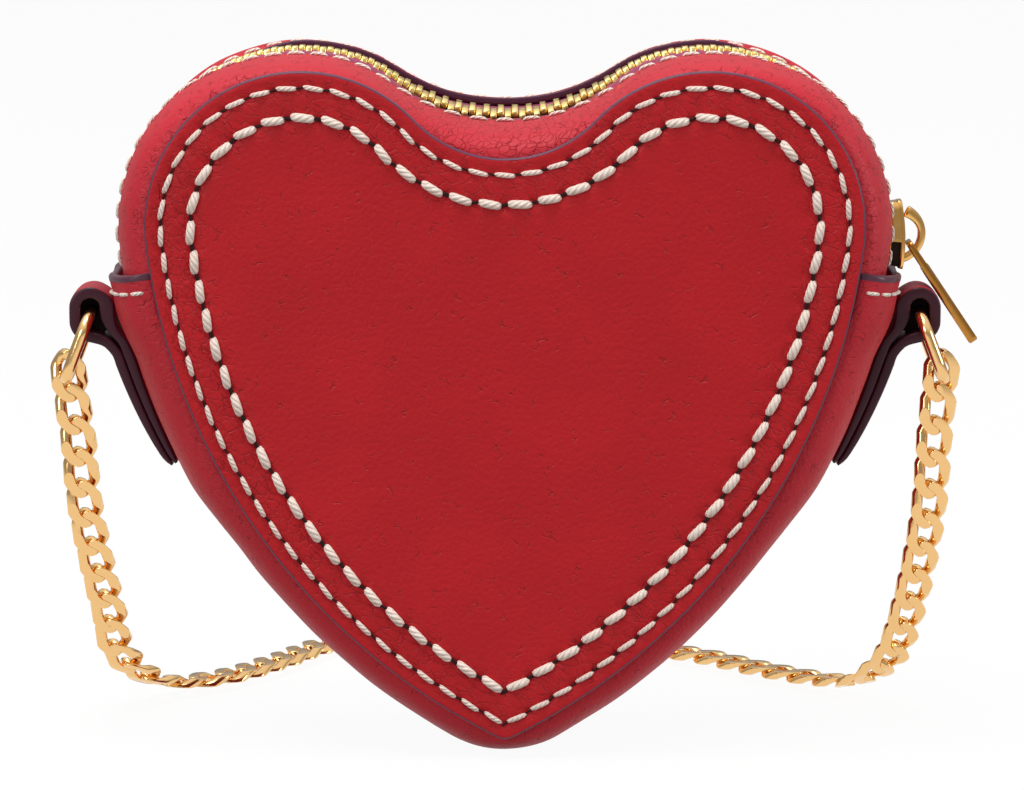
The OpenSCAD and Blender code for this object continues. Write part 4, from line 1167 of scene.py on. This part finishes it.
def tab_line():
    """The strap's middle line in X and Z with its thickness: up the gusset, round the ring and
    back down over itself."""
    n = 16
    top_r = TAB_SEAT_R + STRIP_LIFT
    inner, outer = [], []
    for i, a in enumerate(steps(TAB_END_A, TAB_TOP_A, n)[:14]):
        r_in = TAB_SEAT_R + lift(a)
        r_out = top_r + TAIL_END_T + (TAIL_TOP_T - TAIL_END_T) * math.sqrt(i / n)
        t = (r_out - r_in) / 2 - 0.035
        inner.append((*on_arc(CROWN.side, r_in + t / 2, a), t))
        outer.append((*on_arc(CROWN.side, r_out - t / 2, a), t))
    high, low = (TAB_X, TAB_Z), (TAB_X, TAB_Z - TAB_SLOT)
    r = TAB_R - TAB_T / 2
    loop = []
    for a in range(180, -1, -15):
        fill = TAB_FILL * smooth((a - 120) / 60)
        loop.append((*on_arc(high, r + fill / 2, a), TAB_T + fill))
    loop += [(*on_arc(low, r, a), TAB_T) for a in range(0, -76, -15)]
    return inner + TAB_PART + loop + TAB_NECK + outer[-2::-1]


def catmull(points, n):
    """A smooth line through points, n steps between neighbours."""
    pts = [Vector(p) for p in points]
    pts = [2 * pts[0] - pts[1]] + pts + [2 * pts[-1] - pts[-2]]
    out = []
    for i in range(1, len(pts) - 2):
        p0, p1, p2, p3 = pts[i - 1:i + 3]
        for t in steps(0.0, 1.0, n)[:-1]:
            out.append(0.5 * (2 * p1 + (p2 - p0) * t + (2 * p0 - 5 * p1 + 4 * p2 - p3) * t * t
                              + (3 * p1 - p0 - 3 * p2 + p3) * t ** 3))
    return out + [pts[-2]]


def tab(name, side):
    """A strap of edge painted leather, folded round the ring, its two tails skived thin."""
    line = catmull(tab_line(), 2)
    half = TAB_W / 2
    rows, paints = [], []
    for i, p in enumerate(line):
        before, after = line[max(0, i - 1)], line[min(len(line) - 1, i + 1)]
        way = Vector((after[0] - before[0], after[1] - before[1])).normalized()
        t = p[2] / 2 * (0.55 if i in (0, len(line) - 1) else 1.0)
        c = min(0.42, t * 0.8)
        section = []
        for cy, cn, a0 in ((half - c, t - c, 0), (c - half, t - c, 90), (c - half, c - t, 180),
                           (half - c, c - t, 270)):
            section += [on_arc((cy, cn), c, a0 + k * 30) for k in range(4)]
            if a0 in (0, 180):
                face = 1 if a0 == 0 else -1
                section += [(face * y, face * (t + 0.06)) for y in (3.0, 0.0, -3.0)]
        rows.append([Vector((side * (p[0] - way.y * n), y, p[1] + way.x * n))
                     for y, n in section])
        # the inner face round the slot takes the dark edge paint too: partly the flesh side,
        # partly painted shade in the slot
        paints.append([1.0 if abs(y) > half - 0.22 or n < 0.3 * t else 0.0 for y, n in section])
    leather(name, rows, tab_leather, lambda i, j: paints[i][j],
            lambda i, j: 0.0)


def tab_core(name, side):
    """A dark sheet, painted shade, that closes the middle of the loop's slot round the ring's bar.
    """
    high, low = (TAB_X, TAB_Z), (TAB_X, TAB_Z - TAB_SLOT)
    bar, half = (TAB_X, TAB_Z - TAB_SLOT / 2), 0.15
    r = TAB_R - TAB_T + 0.3
    slot = [on_arc(high, r, a) for a in range(0, 181, 15)]
    slot += [on_arc(low, r * (1 + 0.8 * bell(a, 215, 28)), a) for a in range(180, 361, 15)]
    hole = [on_arc(bar, RING_WIRE / 2 + 0.1, 360 * (k + 0.5) / len(slot))
            for k in range(len(slot))]
    bm = bmesh.new()
    rims = [first_row(bm, [Vector((side * x, -half, z)) for x, z in rim]) for rim in (slot, hole)]
    bmesh.ops.bridge_loops(bm, edges=row_edges(bm, rims[0]) + row_edges(bm, rims[1]))
    thicken(bm, (0, 2 * half, 0))
    piece(name, bm, "purse", slot_shade, sharp=40)
    # a washer of the same painted shade on the bar, behind it
    rim = [on_arc(bar, WASHER_R, 15 * k) for k in range(24)]
    rows = [[Vector((side * x, y, z)) for x, z in rim] for y in (0.8, 1.0)]
    lofted(name + "_washer", rows, "strap", slot_shade, sharp=40)


def wire_ring(name, side):
    """An oval ring of round gilt wire."""
    flat, drop = RING_BAR / 2, RING_CORNER - RING_H
    path = []
    for cy, cz, a0 in ((flat, -RING_CORNER, 0), (-flat, -RING_CORNER, 90), (-flat, drop, 180),
                       (flat, drop, 270)):
        path += [(cy, cz, math.radians(a0 + 7.5 * k)) for k in range(13)]
    turn = Matrix.Rotation(math.radians(-RING_LEAN), 3, "Y")
    rows = []
    for cy, cz, b in path:
        row = []
        for k in range(20):
            a = math.radians(18 * k)
            r = RING_CORNER + RING_WIRE / 2 * math.cos(a)
            p = turn @ Vector((RING_WIRE / 2 * math.sin(a), cy + r * math.cos(b),
                               cz + r * math.sin(b)))
            row.append(Vector((side * (TAB_X + p.x), p.y, TAB_Z - TAB_SLOT / 2 + p.z)))
        rows.append(row)
    lofted(name, rows, "strap", chain_gilt, [name], ring=True)


for tab_side, tab_name in ((-1, "left"), (1, "right")):
    tab(tab_name + "_tab", tab_side)
    tab_core(tab_name + "_tab_core", tab_side)
    wire_ring(tab_name + "_ring", tab_side)

# the chain

# the middle line of the chain from the left ring to the right one, over the floor behind
ROUTE = [(-86.4, 1, 66.9), (-85.6, 2.4, 60), (-84.9, 6, 47.5), (-83.2, 11.5, 34.5),
         (-81.2, 18.5, 22), (-80, 24.6, 13), (-75, 32.3, 6.1), (-68.1, 39.9, 2.9),
         (-58, 49, 2.35), (-48.5, 64, 2.35), (-40, 80, 2.35), (-29, 92, 2.35), (-14, 98.5, 2.35),
         (2, 98.5, 2.35), (17, 93, 2.35), (27.5, 83.5, 2.35), (36, 74.5, 2.35), (44.5, 67, 2.35),
         (56.5, 53.5, 2.35), (68.5, 41.8, 2.8), (74.7, 33.7, 5.1), (79.8, 25.1, 11.6),
         (82.2, 18, 21), (84.4, 11, 34.5), (85.7, 5.5, 47.5), (86.1, 2.2, 59.5), (86.6, 1, 66.9)]
ring_turn = math.radians(RING_LEAN)
FOOT_X = TAB_X + RING_H * math.sin(ring_turn)
FOOT_Z = TAB_Z - TAB_SLOT / 2 - RING_H * math.cos(ring_turn) - 0.3
FINE_ROUTE = catmull([(-FOOT_X, 0, FOOT_Z)] + ROUTE + [(FOOT_X, 0, FOOT_Z)], 6)
ROUTE_RUNS = run_lengths(FINE_ROUTE)
LINK_N = round(ROUTE_RUNS[-1] / LINK_PITCH) + 1
LINK_STEP = ROUTE_RUNS[-1] / (LINK_N - 1)


def route_at(s):
    """The chain's middle line at a distance along it."""
    return along(FINE_ROUTE, ROUTE_RUNS, s)


def link_pattern(bm):
    """One curb link: a twisted oval of wire, rolled broad and ground flat on two faces."""
    straight = LINK_HL - LINK_HW
    rows = []
    for m, way in [(a, 1) for a in range(0, 181, 12)] + [(a, -1) for a in range(180, 361, 12)]:
        row = []
        for k in range(16):
            a, b = math.radians(22.5 * k), math.radians(m)
            r = LINK_HW + LINK_WIRE / 2 - LINK_FACE / 2 * (1 - math.cos(a))
            y = LINK_HALF_T * math.sin(a)
            x, z = r * math.cos(b), straight * way + r * math.sin(b)
            turn = math.radians(LINK_TWIST / 2 * z / LINK_HL)
            row.append(Vector((x * math.cos(turn) - y * math.sin(turn),
                               x * math.sin(turn) + y * math.cos(turn), z)))
        rows.append(row)
    loft(bm, rows, ring=True)
    bmesh.ops.recalc_face_normals(bm, faces=bm.faces)
    for way in (-1, 1):
        cut = bmesh.ops.bisect_plane(bm, geom=bm.verts[:] + bm.edges[:] + bm.faces[:],
                                     dist=0.0001, plane_co=(0, LINK_FLAT * way, 0),
                                     plane_no=(0, way, 0), clear_outer=True)["geom_cut"]
        edges = [e for e in cut if isinstance(e, bmesh.types.BMEdge)]
        bmesh.ops.holes_fill(bm, edges=edges, sides=0)
        bmesh.ops.bevel(bm, geom=edges, offset=0.12, segments=2, profile=0.5, affect="EDGES",
                        material=-1)


def chain_run(name, first, after):
    """Links of the chain, from the first one up to the one after the last."""
    bm = bmesh.new()
    link_pattern(bm)
    places = []
    for k in range(first, after):
        s = k * LINK_STEP
        t = (route_at(s + LINK_STEP / 2) - route_at(s - LINK_STEP / 2)).normalized()
        w = 1 - t.z * t.z
        x = Vector((0, 1 - w, w)).cross(t).normalized()
        turn = Matrix((x, t.cross(x), t)).transposed().to_4x4()
        places.append(Matrix.Translation(route_at(s)) @ turn)
    scatter(bm, places)
    piece(name, bm, "strap", chain_gilt, [name], sharp=32, turn=False)


RUN_ENDS = (0, DROP_LINKS, LINK_N // 2, LINK_N - DROP_LINKS, LINK_N)
for run, run_name in enumerate(("left_drop", "left_floor", "right_floor", "right_drop")):
    chain_run("chain_" + run_name, RUN_ENDS[run], RUN_ENDS[run + 1])

# floor, light and camera


def floor_finish():
    """A white table: seen nearly white by the camera and in gilt, with the purse's shadow. The
    light that it throws back up is that of a greyer one, as in a room with a dark ceiling."""
    mat, tree, surface = new_finish("white_table")
    rays = add(tree, "LightPath").outputs
    seen = calc(tree, "MAXIMUM", rays["Is Camera Ray"], rays["Is Glossy Ray"])
    feed(tree, surface, {"Base Color": blend(tree, seen, "#767270", "#FFFFFF"),
                         "Roughness": 0.8})
    # gilt sees it dimmer further out, as the room in front of a lit table is
    where = add(tree, "TexCoord").outputs["Object"]
    far = add(tree, "VectorMath", {0: where}, operation="LENGTH").outputs["Value"]
    dim = scaled(tree, far, (0.25, 0.75), (1.0, 0.45))
    level = add(tree, "Mix", {0: rays["Is Glossy Ray"], 2: 1.0, 3: dim}, data_type="FLOAT")
    glow = add(tree, "Emission", {"Color": srgb("#FFFFFF"), "Strength": level.outputs[0]})
    both = add(tree, "MixShader", {0: calc(tree, "MULTIPLY", seen, 0.94),
                                   1: surface.outputs[0], 2: glow.outputs[0]})
    feed(tree, tree.nodes["Material Output"], {"Surface": both.outputs[0]})
    return mat


def floor():
    bm = bmesh.new()
    bmesh.ops.create_grid(bm, x_segments=1, y_segments=1, size=6.0)
    shown("floor", bm, floor_finish())


def aimed(data, place, aim):
    """Puts a lamp or the camera at a place, looking at a point."""
    ob = bpy.data.objects.new(data.name, data)
    ob.location = place
    ob.rotation_euler = (Vector(aim) - Vector(place)).to_track_quat("-Z", "Y").to_euler()
    bpy.context.scene.collection.objects.link(ob)
    return ob


# metres, from the middle of the purse, and the camera's degrees above level
AIM = (0, 0, 0.07)
CAMERA_FAR, CAMERA_UP = 0.96, 8.5


def lamp(name, place, size, watts):
    data = bpy.data.lights.new(name, "AREA")
    data.size = size
    data.energy = watts
    aimed(data, place, AIM)


floor()
lamp("over", (-0.25, -0.25, 1.3), 0.8, 12.0)
lamp("front_left", (-0.9, -1.1, 0.55), 0.6, 6.3)
lamp("front_right", (1.35, -0.4, 0.4), 0.45, 6.8)

world = bpy.data.worlds.new("plain_room")
world.use_nodes = True
room = world.node_tree
rays = add(room, "LightPath").outputs
plain = scaled(room, rays["Is Camera Ray"], (0.0, 1.0), (0.36, 1.0))
# in gilt the room is bright overhead and dim at the height of the purse
way = add(room, "SeparateXYZ", {"Vector": add(room, "TexCoord").outputs["Generated"]})
ceiling = scaled(room, way.outputs["Z"], (0.1, 0.8), (0.0, 0.6), soft=True)
level = calc(room, "MULTIPLY_ADD", rays["Is Glossy Ray"], ceiling, plain)
feed(room, room.nodes["Background"], {"Color": srgb("#FFFFFF"), "Strength": level})
bpy.context.scene.world = world

# a long lens, shifted so that the purse lies in the picture as in the photo
lens = bpy.data.cameras.new("camera")
lens.sensor_width = 36.0
lens.lens = 168.75
lens.shift_x = 0.00684
lens.shift_y = -0.0012
lens.clip_start, lens.clip_end = 0.05, 30.0
height = math.radians(CAMERA_UP)
eye = (0, -CAMERA_FAR * math.cos(height), AIM[2] + CAMERA_FAR * math.sin(height))
bpy.context.scene.camera = aimed(lens, eye, AIM)
bpy.context.scene.view_settings.view_transform = "Standard"
